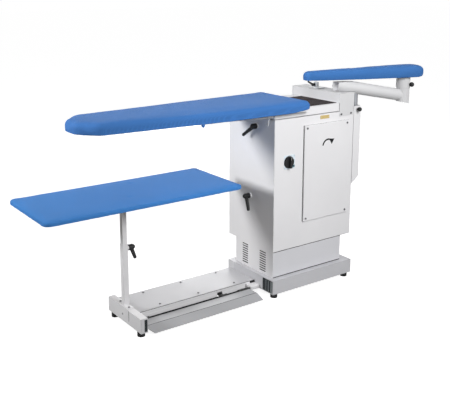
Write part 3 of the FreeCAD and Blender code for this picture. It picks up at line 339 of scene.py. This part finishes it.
# Near-black finish for openings and recesses: painted shade.
recess_shade = plastic("recess_shade", (0.022, 0.027, 0.030), 0.6, 0.2)
shaded_web_steel = paint("shaded_beam_steel", (0.17, 0.19, 0.20), 0.8)
brass = steel("plain_brass", (0.60, 0.46, 0.20), 0.34, (900.0, 6.0, 6.0))
slot_of = {p["node"]: p["material_slot"] for p in frame["record"]["subparts"]}
for node_name, obj in nodes.items():
    obj.data.materials.clear()
    obj.data.materials.append(own_finish.get(node_name, finish[slot_of[node_name]]))


# Building blocks for the pieces

# Sizes of the covers' cloth and of the raised shapes, in metres, and the simulation's length
SIM_FRAMES = 20
CLOTH_THICKNESS = 0.0026
FOLD_DEPTH, FOLD_HEIGHT, FOLD_BIAS = 0.0022, 0.022, 0.6
HEM_INSET = 0.002
DIMPLE_DEPTH, DIMPLE_RADIUS = 0.004, 0.011
CROWN_REACH = 0.045
SET_IN = 0.0004
PRINT_SOFTEN = 0.0001
# The right and up directions of a face
FRONT = ((1, 0, 0), (0, 0, 1))
TOP = ((1, 0, 0), (0, 1, 0))
LEFT = ((0, -1, 0), (0, 0, 1))


def add_piece(name, mesh, body, slot_name, material=None):
    """A mesh object that rides on a body, with its slot's finish or its own."""
    obj = bpy.data.objects.new(name, mesh)
    scene.collection.objects.link(obj)
    mesh.materials.append(material or finish[slot_name])
    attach(obj, body)
    return obj


def mesh_from(name, points, faces, smooth=True):
    """A mesh from points and faces, smooth or flat shaded."""
    mesh = bpy.data.meshes.new(name)
    mesh.from_pydata(points, [], faces)
    mesh.update()
    if smooth:
        mesh.shade_smooth()
    return mesh


def ring_faces(rows, count):
    """Quads between rows of points that each go round once."""
    faces = []
    for r in range(rows - 1):
        for i in range(count):
            j = (i + 1) % count
            faces.append((r * count + i, r * count + j, (r + 1) * count + j, (r + 1) * count + i))
    return faces


def rounded_outline(corners, radii, step):
    """Even points along a closed polygon whose corners are arcs."""
    path = []
    count = len(corners)
    for i, corner in enumerate(corners):
        p = Vector(corner)
        before = (Vector(corners[i - 1]) - p).normalized()
        after = (Vector(corners[(i + 1) % count]) - p).normalized()
        half = before.angle(after) / 2
        radius = radii[i]
        centre = p + (before + after).normalized() * (radius / math.sin(half))
        start = p + before * (radius / math.tan(half)) - centre
        turn = math.pi - 2 * half
        steps = max(4, int(radius * turn / step * 2))
        sign = 1 if before.cross(after) < 0 else -1
        for k in range(steps + 1):
            angle = sign * turn * k / steps
            path.append(centre + Matrix.Rotation(angle, 2) @ start)
    lengths = [(path[(i + 1) % len(path)] - p).length for i, p in enumerate(path)]
    total = sum(lengths)
    count = round(total / step)
    even, walked, i = [], 0.0, 0
    for k in range(count):
        target = total * k / count
        while walked + lengths[i] < target:
            walked += lengths[i]
            i += 1
        share = (target - walked) / lengths[i] if lengths[i] else 0.0
        even.append(path[i].lerp(path[(i + 1) % len(path)], share))
    return even


def outward(outline):
    """Unit normals of a closed outline that runs anticlockwise."""
    result = []
    for i in range(len(outline)):
        along = (outline[(i + 1) % len(outline)] - outline[i - 1]).normalized()
        result.append(Vector((along.y, -along.x)))
    return result


def cover_mesh(name, outline, z0, z1, edge, step, crown):
    """A cloth cover without its underside: sides, rounded edge and a filled top."""
    normals = outward(outline)
    side_rows = max(2, round((z1 - edge - z0) / step))
    rows = [(0.0, z0 + (z1 - edge - z0) * k / side_rows) for k in range(side_rows + 1)]
    edge_rows = 4
    for k in range(1, edge_rows + 1):
        angle = math.pi / 2 * k / edge_rows
        rows.append((edge * (1 - math.cos(angle)), z1 - edge + edge * math.sin(angle)))
    points = []
    count = len(outline)
    for inset, z in rows:
        for p, n in zip(outline, normals):
            q = p - n * inset
            points.append((q.x, q.y, z))
    faces = ring_faces(len(rows), count)
    rim_start = (len(rows) - 1) * count
    rim = [Vector(points[rim_start + i][:2]) for i in range(count)]
    low = Vector((min(p.x for p in rim), min(p.y for p in rim)))
    high = Vector((max(p.x for p in rim), max(p.y for p in rim)))
    # Points inside the rim, in rows of even triangles
    inside = []
    row_gap = step * 0.866
    for r in range(1, int((high.y - low.y) / row_gap) + 1):
        for c in range(int((high.x - low.x) / step) + 1):
            q = Vector((low.x + (c + 0.5 * (r % 2)) * step, low.y + r * row_gap))
            if clear_of(q, rim, step * 0.62):
                inside.append(q)
    flat = [*rim, *inside]
    loop = [(i, (i + 1) % count) for i in range(count)]
    made = delaunay_2d_cdt(flat, loop, [], 1, 1e-7)
    new_index = {}
    for k, (q, sources) in enumerate(zip(made[0], made[3])):
        old = sources[0] if sources else None
        if old is not None and old < count:
            new_index[k] = rim_start + old
        else:
            new_index[k] = len(points)
            points.append((q.x, q.y, z1))
    for face in made[2]:
        faces.append(tuple(new_index[k] for k in face))
    mesh = mesh_from(name, points, faces)
    for v in mesh.vertices[rim_start:]:
        depth = min((Vector(v.co[:2]) - p).length for p in rim)
        v.co.z += crown * (1 - math.exp(-depth / CROWN_REACH))
    return mesh, count


def clear_of(q, rim, gap):
    """True if a point lies inside an outline and at least a gap from it."""
    inside = False
    count = len(rim)
    for i in range(count):
        a, b = rim[i], rim[(i + 1) % count]
        if (q - a).length_squared < gap * gap:
            return False
        if (a.y > q.y) != (b.y > q.y):
            if q.x < a.x + (b.x - a.x) * (q.y - a.y) / (b.y - a.y):
                inside = not inside
    return inside


def puff(obj, hem_count, cap, pressure, slack):
    """Swell the cover by a short cloth simulation, with its hem held, and keep the result."""
    held = obj.vertex_groups.new(name="hem")
    held.add(range(hem_count), 1.0, "REPLACE")
    rest = [v.co.copy() for v in obj.data.vertices]
    cloth_mod = obj.modifiers.new("Cloth", "CLOTH")
    settings = cloth_mod.settings
    settings.quality = 6
    settings.mass = 0.25
    settings.tension_stiffness = 18
    settings.compression_stiffness = 14
    settings.shear_stiffness = 8
    settings.bending_stiffness = 0.35
    settings.vertex_group_mass = "hem"
    settings.use_pressure = True
    settings.uniform_pressure_force = pressure
    settings.shrink_min = -slack
    settings.effector_weights.gravity = 0
    for number in range(1, SIM_FRAMES + 1):
        scene.frame_set(number)
    depsgraph = bpy.context.evaluated_depsgraph_get()
    swollen = [v.co.copy() for v in obj.evaluated_get(depsgraph).data.vertices]
    obj.modifiers.remove(cloth_mod)
    scene.frame_set(1)
    for v, old, new in zip(obj.data.vertices, rest, swollen):
        move = new - old
        v.co = old + move * (cap / (cap + move.length))
    obj.data.update()


def gather(obj, outline, z0, depth, height):
    """Draw the lower edge into small uneven folds."""
    normals = outward(outline)
    for v in obj.data.vertices:
        rise = (v.co.z - z0) / height
        if rise < 1:
            p = Vector(v.co[:2])
            k = min(range(len(outline)), key=lambda i: (outline[i] - p).length_squared)
            fold = noise.noise((k * 0.9, 3.1, 0.0)) + 0.5 * noise.noise((k * 2.3, 9.7, 0.0))
            pull = depth * (1 - rise) ** 2
            move = normals[k] * (pull * (fold - FOLD_BIAS))
            v.co.x += move.x
            v.co.y += move.y
            v.co.z += pull * 0.5 * noise.noise((k * 1.7, 5.5, 2.0))


def sink(obj, x, y, depth, radius):
    """Press a dimple into the top of a cover."""
    for v in obj.data.vertices:
        away = math.hypot(v.co.x - x, v.co.y - y) / radius
        v.co.z -= depth * math.exp(-away * away)


def cover(node, body, material, corners, radii, edge, step, crown, cap, pressure, slack,
          dimples=(), under=()):
    """A padded cloth cover in place of its CAD solid and of the padding under it."""
    low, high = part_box(node)
    outline = rounded_outline(corners, radii, step)
    mesh, hem_count = cover_mesh(node + "_cloth", outline, low.z, high.z - crown, edge, step, crown)
    obj = add_piece(node + "_cloth", mesh, body, "blue_cloth", material)
    puff(obj, hem_count, cap, pressure, slack)
    gather(obj, outline, low.z, FOLD_DEPTH, FOLD_HEIGHT)
    for x, y in dimples:
        sink(obj, x, y, DIMPLE_DEPTH, DIMPLE_RADIUS)
    wall = obj.modifiers.new("Wall", "SOLIDIFY")
    wall.thickness = CLOTH_THICKNESS
    wall.offset = -1.0
    smooth = obj.modifiers.new("Smooth", "SUBSURF")
    smooth.levels = smooth.render_levels = 1
    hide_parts(node, *under)
    return obj, outline


def tube(name, points, radius, body, slot_name, closed=False, material=None):
    """A round cord of cloth or wire along points."""
    curve = bpy.data.curves.new(name, "CURVE")
    curve.dimensions = "3D"
    curve.bevel_depth = radius
    curve.bevel_resolution = 3
    spline = curve.splines.new("NURBS")
    spline.points.add(len(points) - 1)
    for point, place in zip(spline.points, points):
        point.co = (*place, 1.0)
    spline.use_cyclic_u = closed
    spline.order_u = 3
    spline.use_endpoint_u = not closed
    curve.materials.append(material or finish[slot_name])
    obj = bpy.data.objects.new(name, curve)
    scene.collection.objects.link(obj)
    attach(obj, body)
    return obj


def hem(name, outline, z, radius, body, material, shape=None):
    """The drawcord hem round a cover's lower edge."""
    points = []
    for k, (p, n) in enumerate(zip(outline, outward(outline))):
        fold = noise.noise((k * 0.9, 3.1, 0.0)) - FOLD_BIAS
        q = p + n * (FOLD_DEPTH * fold - HEM_INSET)
        points.append([q.x, q.y, z + 0.001 * noise.noise((k * 0.7, 1.3, 4.0))])
    if shape:
        shape(points)
    return tube(name, points[::2], radius, body, "blue_cloth", True, material)


def raised(outline, place, right, up, height, soften=0.0003):
    """Points and faces of a thin raised shape that is set into its carrier, with softened upper edges."""
    right, up = Vector(right), Vector(up)
    normal = right.cross(up)
    path = [Vector(p) for p in outline]
    count = len(path)
    rows = ((0.0, -SET_IN), (0.0, height - soften), (soften, height))
    points = []
    for inset, level in rows:
        for p, n in zip(path, outward(path)):
            q = p - n * inset
            points.append(Vector(place) + right * q.x + up * q.y + normal * level)
    faces = ring_faces(len(rows), count)
    faces.append(tuple(range(2 * count, 3 * count)))
    faces.append(tuple(reversed(range(count))))
    return points, faces


def add_raised(name, shapes, body, slot_name, material=None):
    """One piece from several raised shapes."""
    points, faces = [], []
    for shape_points, shape_faces in shapes:
        start = len(points)
        points += shape_points
        faces += [tuple(start + k for k in face) for face in shape_faces]
    return add_piece(name, mesh_from(name, points, faces, False), body, slot_name, material)


def arc(centre, radius, start, end, steps):
    """Points on an arc, with its angles in degrees."""
    angles = [math.radians(start + (end - start) * k / steps) for k in range(steps + 1)]
    return [(centre[0] + radius * math.cos(a), centre[1] + radius * math.sin(a)) for a in angles]


def plate_outline(width, height, radius):
    """A rectangle with round corners about the origin, anticlockwise."""
    x, y = width / 2 - radius, height / 2 - radius
    corners = (((x, -y), -90), ((x, y), 0), ((-x, y), 90), ((-x, -y), 180))
    return [p for centre, start in corners for p in arc(centre, radius, start, start + 90, 5)]


def plate(width, height, radius, place, face, lift):
    """A raised rectangle with round corners."""
    return raised(plate_outline(width, height, radius), place, *face, lift)


def disc_outline(x, radius):
    """A circle about a point on the x axis, anticlockwise."""
    return arc((x, 0), radius, 0, 345, 23)


def cross_outline(size, width):
    """A plus sign about the origin, anticlockwise."""
    s, w = size / 2, width / 2
    return [(w, -s), (w, -w), (s, -w), (s, w), (w, w), (w, s),
            (-w, s), (-w, w), (-s, w), (-s, -w), (-w, -w), (-w, -s)]


def knot(name, place, size, radius, body):
    """The tied end of a cover's drawcord."""
    points = []
    steps = 24
    for k in range(steps):
        a = 2 * math.pi * k / steps
        x = math.sin(a) + 2 * math.sin(2 * a)
        z = math.cos(a) - 2 * math.cos(2 * a)
        points.append((place[0] + size * x, place[1] - size * math.sin(3 * a), place[2] + size * z))
    return tube(name, points, radius, body, "blue_cloth", True)


def coil_spring(name, node, turns, wire, body):
    """A wire spring that fills its CAD solid's box."""
    low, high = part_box(node)
    centre = (low + high) / 2
    radius = (high.x - low.x) / 2 - wire
    per_turn, sides = 24, 8
    steps = per_turn * turns
    points = []
    for k in range(steps + 1):
        turn = 2 * math.pi * k / per_turn
        out = Vector((math.cos(turn), math.sin(turn), 0.0))
        level = low.z + wire + (high.z - low.z - 2 * wire) * k / steps
        middle = Vector((centre.x, centre.y, level)) + out * radius
        for b in range(sides):
            around = 2 * math.pi * b / sides
            points.append(middle + out * (wire * math.cos(around)) + Vector((0, 0, wire * math.sin(around))))
    faces = [tuple(range(sides)), tuple(reversed(range(steps * sides, len(points))))]
    for k in range(steps):
        for b in range(sides):
            c = (b + 1) % sides
            faces.append((k * sides + b, (k + 1) * sides + b, (k + 1) * sides + c, k * sides + c))
    return add_piece(name, mesh_from(name, points, faces), body, "steel")


# Padded covers

low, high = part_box("board_cover")
board_bottom = low.z
mid_y = (low.y + high.y) / 2
waist, waist_half = high.x - 0.495, 0.181
shoulder, shoulder_half = low.x + 0.070, 0.131
tip_half = 0.050
board_corners = [
    (high.x, low.y), (high.x, high.y),
    (waist, mid_y + waist_half), (shoulder, mid_y + shoulder_half),
    (low.x, mid_y + tip_half), (low.x, mid_y - tip_half),
    (shoulder, mid_y - shoulder_half), (waist, mid_y - waist_half),
]
end_radius, waist_radius, tip_radius = 0.030, 1.5, 0.062
board_radii = (end_radius, end_radius, waist_radius, *(tip_radius,) * 4, waist_radius)
board_cotton = finish["blue_cloth"]
board_cloth, board_line = cover(
    "board_cover", "board_unit", board_cotton, board_corners, board_radii,
    edge=0.021, step=0.009, crown=0.002, cap=0.0035, pressure=2.5, slack=0.006,
    under=("board_felt",),
)
lift_from, lift_to = high.x - 0.150, high.x - 0.010
lift_rise, lift_height = 0.013, 0.030


def lift(points):
    """Draw the board cover's hem up towards its right end."""
    for point in points:
        share = min(1.0, max(0.0, (point[0] - lift_from) / (lift_to - lift_from)))
        hang = max(0.0, 1.0 - (point[2] - board_bottom) / lift_height)
        point[2] += lift_rise * share ** 2 * hang


lift([v.co for v in board_cloth.data.vertices])
hem("board_hem", board_line, board_bottom + 0.003, 0.0026, "board_unit", board_cotton, lift)

low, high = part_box("shelf_cover")
shelf_corners = [(high.x, low.y), (high.x, high.y), (low.x, high.y), (low.x, low.y)]
shelf_radius = 0.028
shelf_lit_cotton = cloth("shelf_lit_cotton", SHELF_LIT_BLUE, SHEEN)
shelf_line = cover(
    "shelf_cover", "shelf", shelf_lit_cotton, shelf_corners, (shelf_radius,) * 4,
    edge=0.009, step=0.009, crown=0.0015, cap=0.003, pressure=2.0, slack=0.006,
    dimples=((-0.594, -0.039), (-0.486, 0.150)),
)[1]
hem("shelf_hem", shelf_line, low.z + 0.002, 0.0022, "shelf", shelf_lit_cotton)

arm_angle = math.radians(-13.05)
pivot = Vector((0.6330, -0.1065))


def on_arm(u, v):
    """A plan point from the distance along the sleeve arm and to its left."""
    c, s = math.cos(arm_angle), math.sin(arm_angle)
    return (pivot.x + u * c - v * s, pivot.y + u * s + v * c)


buck_low, buck_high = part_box("buck_cover")
nose_at, nose_half, nose_radius = -0.283, 0.027, 0.023
butt_at, butt_half, butt_radius = 0.385, 0.060, 0.048
buck_corners = [on_arm(nose_at, -nose_half), on_arm(butt_at, -butt_half),
                on_arm(butt_at, butt_half), on_arm(nose_at, nose_half)]
buck_shaded_cotton = cloth("buck_shaded_cotton", BUCK_SHADED_BLUE, SHEEN)
buck_cloth, buck_line = cover(
    "buck_cover", "buck", buck_shaded_cotton, buck_corners, (nose_radius, butt_radius, butt_radius, nose_radius),
    edge=0.028, step=0.007, crown=0.003, cap=0.004, pressure=2.5, slack=0.006,
)
nose = Vector(on_arm(nose_at, 0.0))
butt = Vector(on_arm(butt_at, 0.0))
nose_rise, butt_rise, top_drop = 0.009, 0.014, 0.006
butt_length = 0.060


def taper(points):
    """Thin the sleeve buck towards its nose, and round its butt end."""
    for point in points:
        share = max(0.0, (Vector(point[:2]) - butt).dot(nose - butt) / (nose - butt).length_squared)
        height = (point[2] - buck_low.z) / (buck_high.z - buck_low.z)
        end = max(0.0, 1.0 - share * (nose - butt).length / butt_length)
        point[2] += share ** 2 * (nose_rise * (1 - height) - top_drop * height)
        point[2] += end ** 2 * (butt_rise * (1 - height) - top_drop * height)


taper([v.co for v in buck_cloth.data.vertices])
# The tray's rows: inset from the cover's edge, and rise over the tray's underside
tray_rows = ((0.0090, 0.0), (0.0065, 0.0008), (0.0055, 0.0030), (0.0055, 0.0120), (0.0075, 0.0120),
             (0.0075, 0.0020))
tray_bottom = buck_low.z + 0.0004
tray_points = []
for inset, rise in tray_rows:
    for p, n in zip(buck_line, outward(buck_line)):
        q = p - n * inset
        tray_points.append([q.x, q.y, tray_bottom + rise])
count = len(buck_line)
tray_faces = ring_faces(len(tray_rows), count)
tray_faces.append(tuple(reversed(range(count))))
tray_faces.append(tuple(range(len(tray_points) - count, len(tray_points))))
taper(tray_points)
tray_mesh = mesh_from("buck_tray", tray_points, tray_faces, False)
buck_tray = add_piece("buck_tray", tray_mesh, "buck", "white_paint")
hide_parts("buck_frame")
hem("buck_hem", buck_line, buck_low.z + 0.003, 0.0024, "buck", buck_shaded_cotton, taper)


# Small details on the access door and the front panel

low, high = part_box("access_door")
middle_x, middle_z = (low.x + high.x) / 2, (low.z + high.z) / 2
door_width, seal_height = high.x - low.x, high.z - low.z + 0.002
seal_lift, seal_radius = 0.0012, 0.0005
# A dark seal round the door, widest at the left and the bottom: partly the gap round the door, partly
# painted shade of its edges.
door_shade_seal = []
for x, z, width, height in (
    (low.x - 0.0009, middle_z, 0.0030, seal_height),
    (high.x, middle_z, 0.0012, seal_height),
    (middle_x, low.z - 0.0004, door_width, 0.0020),
    (middle_x, high.z, door_width, 0.0012),
):
    door_shade_seal.append(plate(width, height, seal_radius, (x, high.y, z), FRONT, seal_lift))
add_raised("door_shade_seal", door_shade_seal, "frame", "black_rubber")
sign_place, sign_lift = (0.4375, low.y, 0.713), 0.0006
bend = (-0.002, -0.020)
bow = arc(bend, 0.0365, 72, 171, 16) + arc(bend, 0.0285, 171, 72, 16)
head = [(0.004, 0.015), (0.022, -0.014), (0.038, 0.011)]
sign = [raised(shape, sign_place, *FRONT, sign_lift) for shape in (bow, head)]
add_raised("turn_arrow", sign, "frame", "black_plastic", print_and_shade_black)

tag_place = Vector((0.4175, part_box("front_panel")[0].y, 0.835))
tag = plate(0.058, 0.017, 0.002, tag_place, FRONT, 0.0008)
add_raised("blank_plate", [tag], "frame", "steel", brass)
rivet_radius, rivet_lift, rivet_soften = 0.0016, 0.0016, 0.0007
rivets = [raised(disc_outline(x, rivet_radius), tag_place, *FRONT, rivet_lift, rivet_soften)
          for x in (-0.025, 0.025)]
add_raised("plate_rivets", rivets, "frame", "steel")

low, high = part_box("switch_plate")
knob_low, knob_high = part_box("switch_knob")
knob_x = (knob_low.x + knob_high.x) / 2
knob_z = (knob_low.z + knob_high.z) / 2
dial = (knob_x, low.y, knob_z)
mark_start, mark_end, mark_half = 0.0300, 0.0325, 0.0007
marks = []
for angle in (15, 40, 65, 90, 115):
    a = math.radians(angle)
    along = Vector((math.cos(a), math.sin(a)))
    side = Vector((-along.y, along.x)) * mark_half
    inner, outer = along * mark_start, along * mark_end
    mark = [inner - side, outer - side, outer + side, inner + side]
    marks.append(raised(mark, dial, *FRONT, 0.0003, PRINT_SOFTEN))
add_raised("switch_marks", marks, "frame", "black_plastic", print_and_shade_black)
field = plate(0.015, 0.010, 0.001, (high.x - 0.0095, low.y, low.z + 0.011), FRONT, 0.0004)
add_raised("switch_field", [field], "frame", "black_plastic", print_teal)
pointer = plate(0.0016, 0.010, 0.0006, (knob_x, knob_low.y, knob_z + 0.017), FRONT, 0.0004)
add_raised("switch_pointer", [pointer], "switch_knob", "pale_plastic", print_white)

# Painted shade in the cross recesses of the door's, bridge's, platform's and post's screw heads
door_head, bridge_head, platform_head, post_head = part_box("frame_screws")[0].y, -0.133, 0.0555, 0.0925
front_heads = [(x, door_head, z) for x in (0.3025, 0.5595) for z in (0.352, 0.793)]
front_heads += [(x, bridge_head, 0.837) for x in (0.5235, 0.5875)]
top_heads = [(x, y, platform_head) for x in (-0.4285, -0.223, -0.0175) for y in (0.006, 0.159)]
top_heads += [(-0.597, y, post_head) for y in (-0.018, 0.060)]
recess, recess_lift = cross_outline(0.006, 0.0014), 0.0002
recess_shades = [raised(recess, p, *FRONT, recess_lift, PRINT_SOFTEN) for p in front_heads]
recess_shades += [raised(recess, p, *TOP, recess_lift, PRINT_SOFTEN) for p in top_heads]
add_raised("screw_recess_shades", recess_shades, "frame", "black_plastic", print_and_shade_black)


# Small details on the plinth, the left panel and the stand

low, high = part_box("plinth_wrap")
middle_x = (low.x + high.x) / 2
seals = []
for z, height in ((high.z, 0.0026), (low.z + 0.0018, 0.0036)):
    seals.append(plate(high.x - low.x, height, 0.0008, (middle_x, low.y, z), FRONT, 0.0006))
add_raised("plinth_seals", seals, "frame", "black_rubber")

# Black plates behind the left panel's vent slots and black bars in the slots: painted shade inside the
# vents.
panel_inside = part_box("left_panel")[1].x
slot_count, slot_bottom, slot_height = 9, 0.1065, 0.0048
slot_pitch = 0.105 / slot_count
slot_shade_height, slot_shade_middle = 0.111, 0.1565
slot_shades = []
for y0, y1 in ((-0.074, -0.029), (0.065, 0.107)):
    y, width = (y0 + y1) / 2, y1 - y0
    slot_shade_place = (panel_inside + 0.0015, y, slot_shade_middle)
    slot_shades.append(plate(width + 0.006, slot_shade_height, 0.004, slot_shade_place, LEFT, 0.0014))
    for k in range(slot_count):
        bar_place = (panel_inside - 0.0002, y, slot_bottom + slot_pitch * k)
        slot_shades.append(plate(width + 0.001, slot_height + 0.0004, 0.0008, bar_place, LEFT, 0.0016))
add_raised("vent_slot_shades", slot_shades, "frame", "black_plastic", print_and_shade_black)

low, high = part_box("platform_plate")
strip_height, strip_middle = 0.026, 0.0205
strips = []
for x0, x1 in ((low.x + 0.001, -0.133), (-0.102, 0.0325)):
    strip_place = ((x0 + x1) / 2, low.y, strip_middle)
    strips.append(plate(x1 - x0, strip_height, 0.001, strip_place, FRONT, 0.0012))
add_raised("rail_skirt", strips, "frame", "white_paint")
seam_place = ((low.x + high.x) / 2, low.y, low.z - 0.0008)
seam = plate(high.x - low.x - 0.002, 0.0016, 0.0005, seam_place, FRONT, 0.0005)
add_raised("plate_seam", [seam], "frame", "black_rubber")
# A thin black strip along the pedal's fold: painted shade of the crease.
fold_y, fold_z = -0.119, 0.0355
pedal_low, pedal_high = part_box("pedal")
fold_place = ((pedal_low.x + pedal_high.x) / 2, fold_y + 0.0016, fold_z)
fold_shade_strip = plate(pedal_high.x - pedal_low.x - 0.004, 0.0022, 0.0008, fold_place, TOP, 0.0006)
add_raised("pedal_fold_shade", [fold_shade_strip], "pedal", "black_rubber")
# A black rubber flap between the hinge bracket and the base: painted shade for the deep shade in that gap.
shade_flap = plate(0.028, 0.029, 0.003, (high.x - 0.014, low.y, 0.037), FRONT, 0.0025)
add_raised("hinge_shade_flap", [shade_flap], "frame", "black_rubber")

bracket_length, sheet, bend_radius = 0.049, 0.002, 0.004
bend_front, bend_top, bend_bottom = 0.060, 0.041, 0.024
bend_centre = (bend_front - bend_radius, bend_top - bend_radius)
profile = [(bend_front - sheet, bend_bottom), (bend_front, bend_bottom)]
profile += arc(bend_centre, bend_radius, 0, 90, 6)
profile += [(-low.y, bend_top), (-low.y, bend_top - sheet)]
profile += arc(bend_centre, bend_radius - sheet, 90, 0, 6)
bracket = raised(profile, (high.x - 0.001, 0.0, 0.0), *LEFT, bracket_length)
add_raised("hinge_bracket", [bracket], "frame", "white_paint")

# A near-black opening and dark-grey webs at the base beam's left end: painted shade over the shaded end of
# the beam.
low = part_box("base_plate")[0]
beam_middle, web_height = 0.056, 0.056
shaded_opening = plate(0.074, 0.060, 0.003, (low.x, low.y + 0.042, beam_middle), LEFT, 0.0008)
add_raised("beam_end_shade", [shaded_opening], "frame", "black_plastic", recess_shade)
webs = [plate(width, web_height, 0.0015, (low.x - 0.0008, low.y + away, beam_middle), LEFT, 0.002)
        for away, width in ((0.012, 0.012), (0.034, 0.005), (0.052, 0.004))]
add_raised("beam_webs", webs, "frame", "grey_paint", shaded_web_steel)

low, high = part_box("end_foot")
foot_middle = (low.z + high.z) / 2
seam_height = 0.048
seam_place = (low.x, -0.044, high.z - seam_height / 2 - 0.001)
foot_seam = plate(0.0022, seam_height, 0.0006, seam_place, LEFT, 0.0004)
add_raised("foot_seam", [foot_seam], "frame", "black_rubber")
# A near-black patch on the end foot's front: painted shade for an opening there.
mouth_width, mouth_height = 0.014, 0.054
mouth_place = (high.x - 0.002 - mouth_width / 2, low.y - 0.003, foot_middle)
foot_mouth_shade = plate(mouth_width, mouth_height, 0.002, mouth_place, FRONT, 0.0006)
add_raised("foot_mouth_shade", [foot_mouth_shade], "frame", "black_plastic", recess_shade)
foot_screw = raised(disc_outline(0.0, 0.0045), (low.x, 0.011, foot_middle), *LEFT, 0.002, 0.0012)
add_raised("foot_screw", [foot_screw], "frame", "steel", own_finish["frame_screws"])


# Hook, drawcord end and return spring

hook = [(0.1115, -0.100, 0.862), (0.104, -0.100, 0.860), (0.0995, -0.100, 0.850), (0.0985, -0.100, 0.832),
        (0.0975, -0.098, 0.822), (0.0945, -0.090, 0.822), (0.0945, -0.084, 0.830)]
tube("cord_hook", hook, 0.0022, "frame", "steel")
knot("board_knot", (-0.302, -0.162, 0.877), 0.0026, 0.0022, "board_unit")
return_spring = coil_spring("return_spring", "pedal_spring", 3, 0.0012, "frame")
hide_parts("pedal_spring")
low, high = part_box("pedal_spring")
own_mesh(return_spring)


# Floor, light and camera

FLOOR = 30
floor_corners = [(-FLOOR, -FLOOR, 0), (FLOOR, -FLOOR, 0), (FLOOR, FLOOR, 0), (-FLOOR, FLOOR, 0)]
floor_mesh = mesh_from("floor", floor_corners, [(0, 1, 2, 3)], False)
floor = bpy.data.objects.new("floor", floor_mesh)
scene.collection.objects.link(floor)


def seen_directly(tree):
    """1 for camera, glossy and transmission rays."""
    path = tree.nodes.new("ShaderNodeLightPath")
    total = path.outputs["Is Camera Ray"]
    for other in ("Is Glossy Ray", "Is Transmission Ray"):
        largest = tree.nodes.new("ShaderNodeMath")
        largest.operation = "MAXIMUM"
        tree.links.new(total, largest.inputs[0])
        tree.links.new(path.outputs[other], largest.inputs[1])
        total = largest.outputs[0]
    return total


# The floor shows as white, keeps the object's shadow, and throws little light back
floor_mat = bpy.data.materials.new("pale_floor")
floor_mat.use_nodes = True
tree = floor_mat.node_tree
tree.nodes.clear()
matte = tree.nodes.new("ShaderNodeBsdfDiffuse")
matte.inputs["Color"].default_value = (0.20, 0.20, 0.20, 1.0)
shade = tree.nodes.new("ShaderNodeBsdfDiffuse")
shade.inputs["Color"].default_value = (0.45, 0.45, 0.45, 1.0)
glow = tree.nodes.new("ShaderNodeEmission")
glow.inputs["Strength"].default_value = 0.90
shown = tree.nodes.new("ShaderNodeAddShader")
tree.links.new(glow.outputs[0], shown.inputs[0])
tree.links.new(shade.outputs[0], shown.inputs[1])
chosen = tree.nodes.new("ShaderNodeMixShader")
tree.links.new(seen_directly(tree), chosen.inputs["Fac"])
tree.links.new(matte.outputs[0], chosen.inputs[1])
tree.links.new(shown.outputs[0], chosen.inputs[2])
out = tree.nodes.new("ShaderNodeOutputMaterial")
tree.links.new(chosen.outputs[0], out.inputs["Surface"])
floor_mesh.materials.append(floor_mat)

world = bpy.data.worlds.new("studio")
scene.world = world
world.use_nodes = True
tree = world.node_tree
ambient = tree.nodes["Background"]
ambient.inputs["Strength"].default_value = 0.21
plain = tree.nodes.new("ShaderNodeBackground")
for node in (ambient, plain):
    node.inputs["Color"].default_value = (1.0, 1.0, 1.0, 1.0)
chosen = tree.nodes.new("ShaderNodeMixShader")
tree.links.new(seen_directly(tree), chosen.inputs["Fac"])
tree.links.new(ambient.outputs[0], chosen.inputs[1])
tree.links.new(plain.outputs[0], chosen.inputs[2])
tree.links.new(chosen.outputs[0], tree.nodes["World Output"].inputs["Surface"])


def softbox(name, place, aim, size, power, spread=180.0):
    """A round studio lamp, with its spread in degrees."""
    lamp = bpy.data.lights.new(name, "AREA")
    lamp.shape = "DISK"
    lamp.size = size
    lamp.energy = power
    lamp.spread = math.radians(spread)
    obj = bpy.data.objects.new(name, lamp)
    obj.location = place
    obj.rotation_euler = (Vector(aim) - Vector(place)).to_track_quat("-Z", "Y").to_euler()
    scene.collection.objects.link(obj)


softbox("left", (-3.5, 1.3, 1.88), (0.0, 0.0, 0.98), size=0.8, power=12.0, spread=52.0)
softbox("front", (0.1, -2.7, 2.3), (0.25, 0.0, 0.9), size=1.6, power=31.0, spread=100.0)
softbox("top", (-0.3, 0.4, 4.2), (-0.1, 0.0, 0.6), size=3.0, power=17.0)
softbox("back", (2.3, 3.5, 0.65), (0.2, 0.0, 0.6), size=1.8, power=52.0)

IMAGE_WIDTH = 450
FOCAL_PIXELS = 754.8
SHIFT_PIXELS = -60.0
CAMERA_TILT, CAMERA_TURN = 12.194, 35.527
camera_data = bpy.data.cameras.new("camera")
camera_data.sensor_width = 36.0
camera_data.lens = FOCAL_PIXELS / IMAGE_WIDTH * camera_data.sensor_width
camera_data.shift_y = SHIFT_PIXELS / IMAGE_WIDTH
camera_data.clip_end = 200.0
camera = bpy.data.objects.new("camera", camera_data)
camera.location = (-2.0239, -2.7301, 1.4863)
camera.rotation_euler = (math.radians(90 - CAMERA_TILT), 0.0, math.radians(-CAMERA_TURN))
scene.collection.objects.link(camera)
scene.camera = camera
scene.view_settings.view_transform = "Standard"
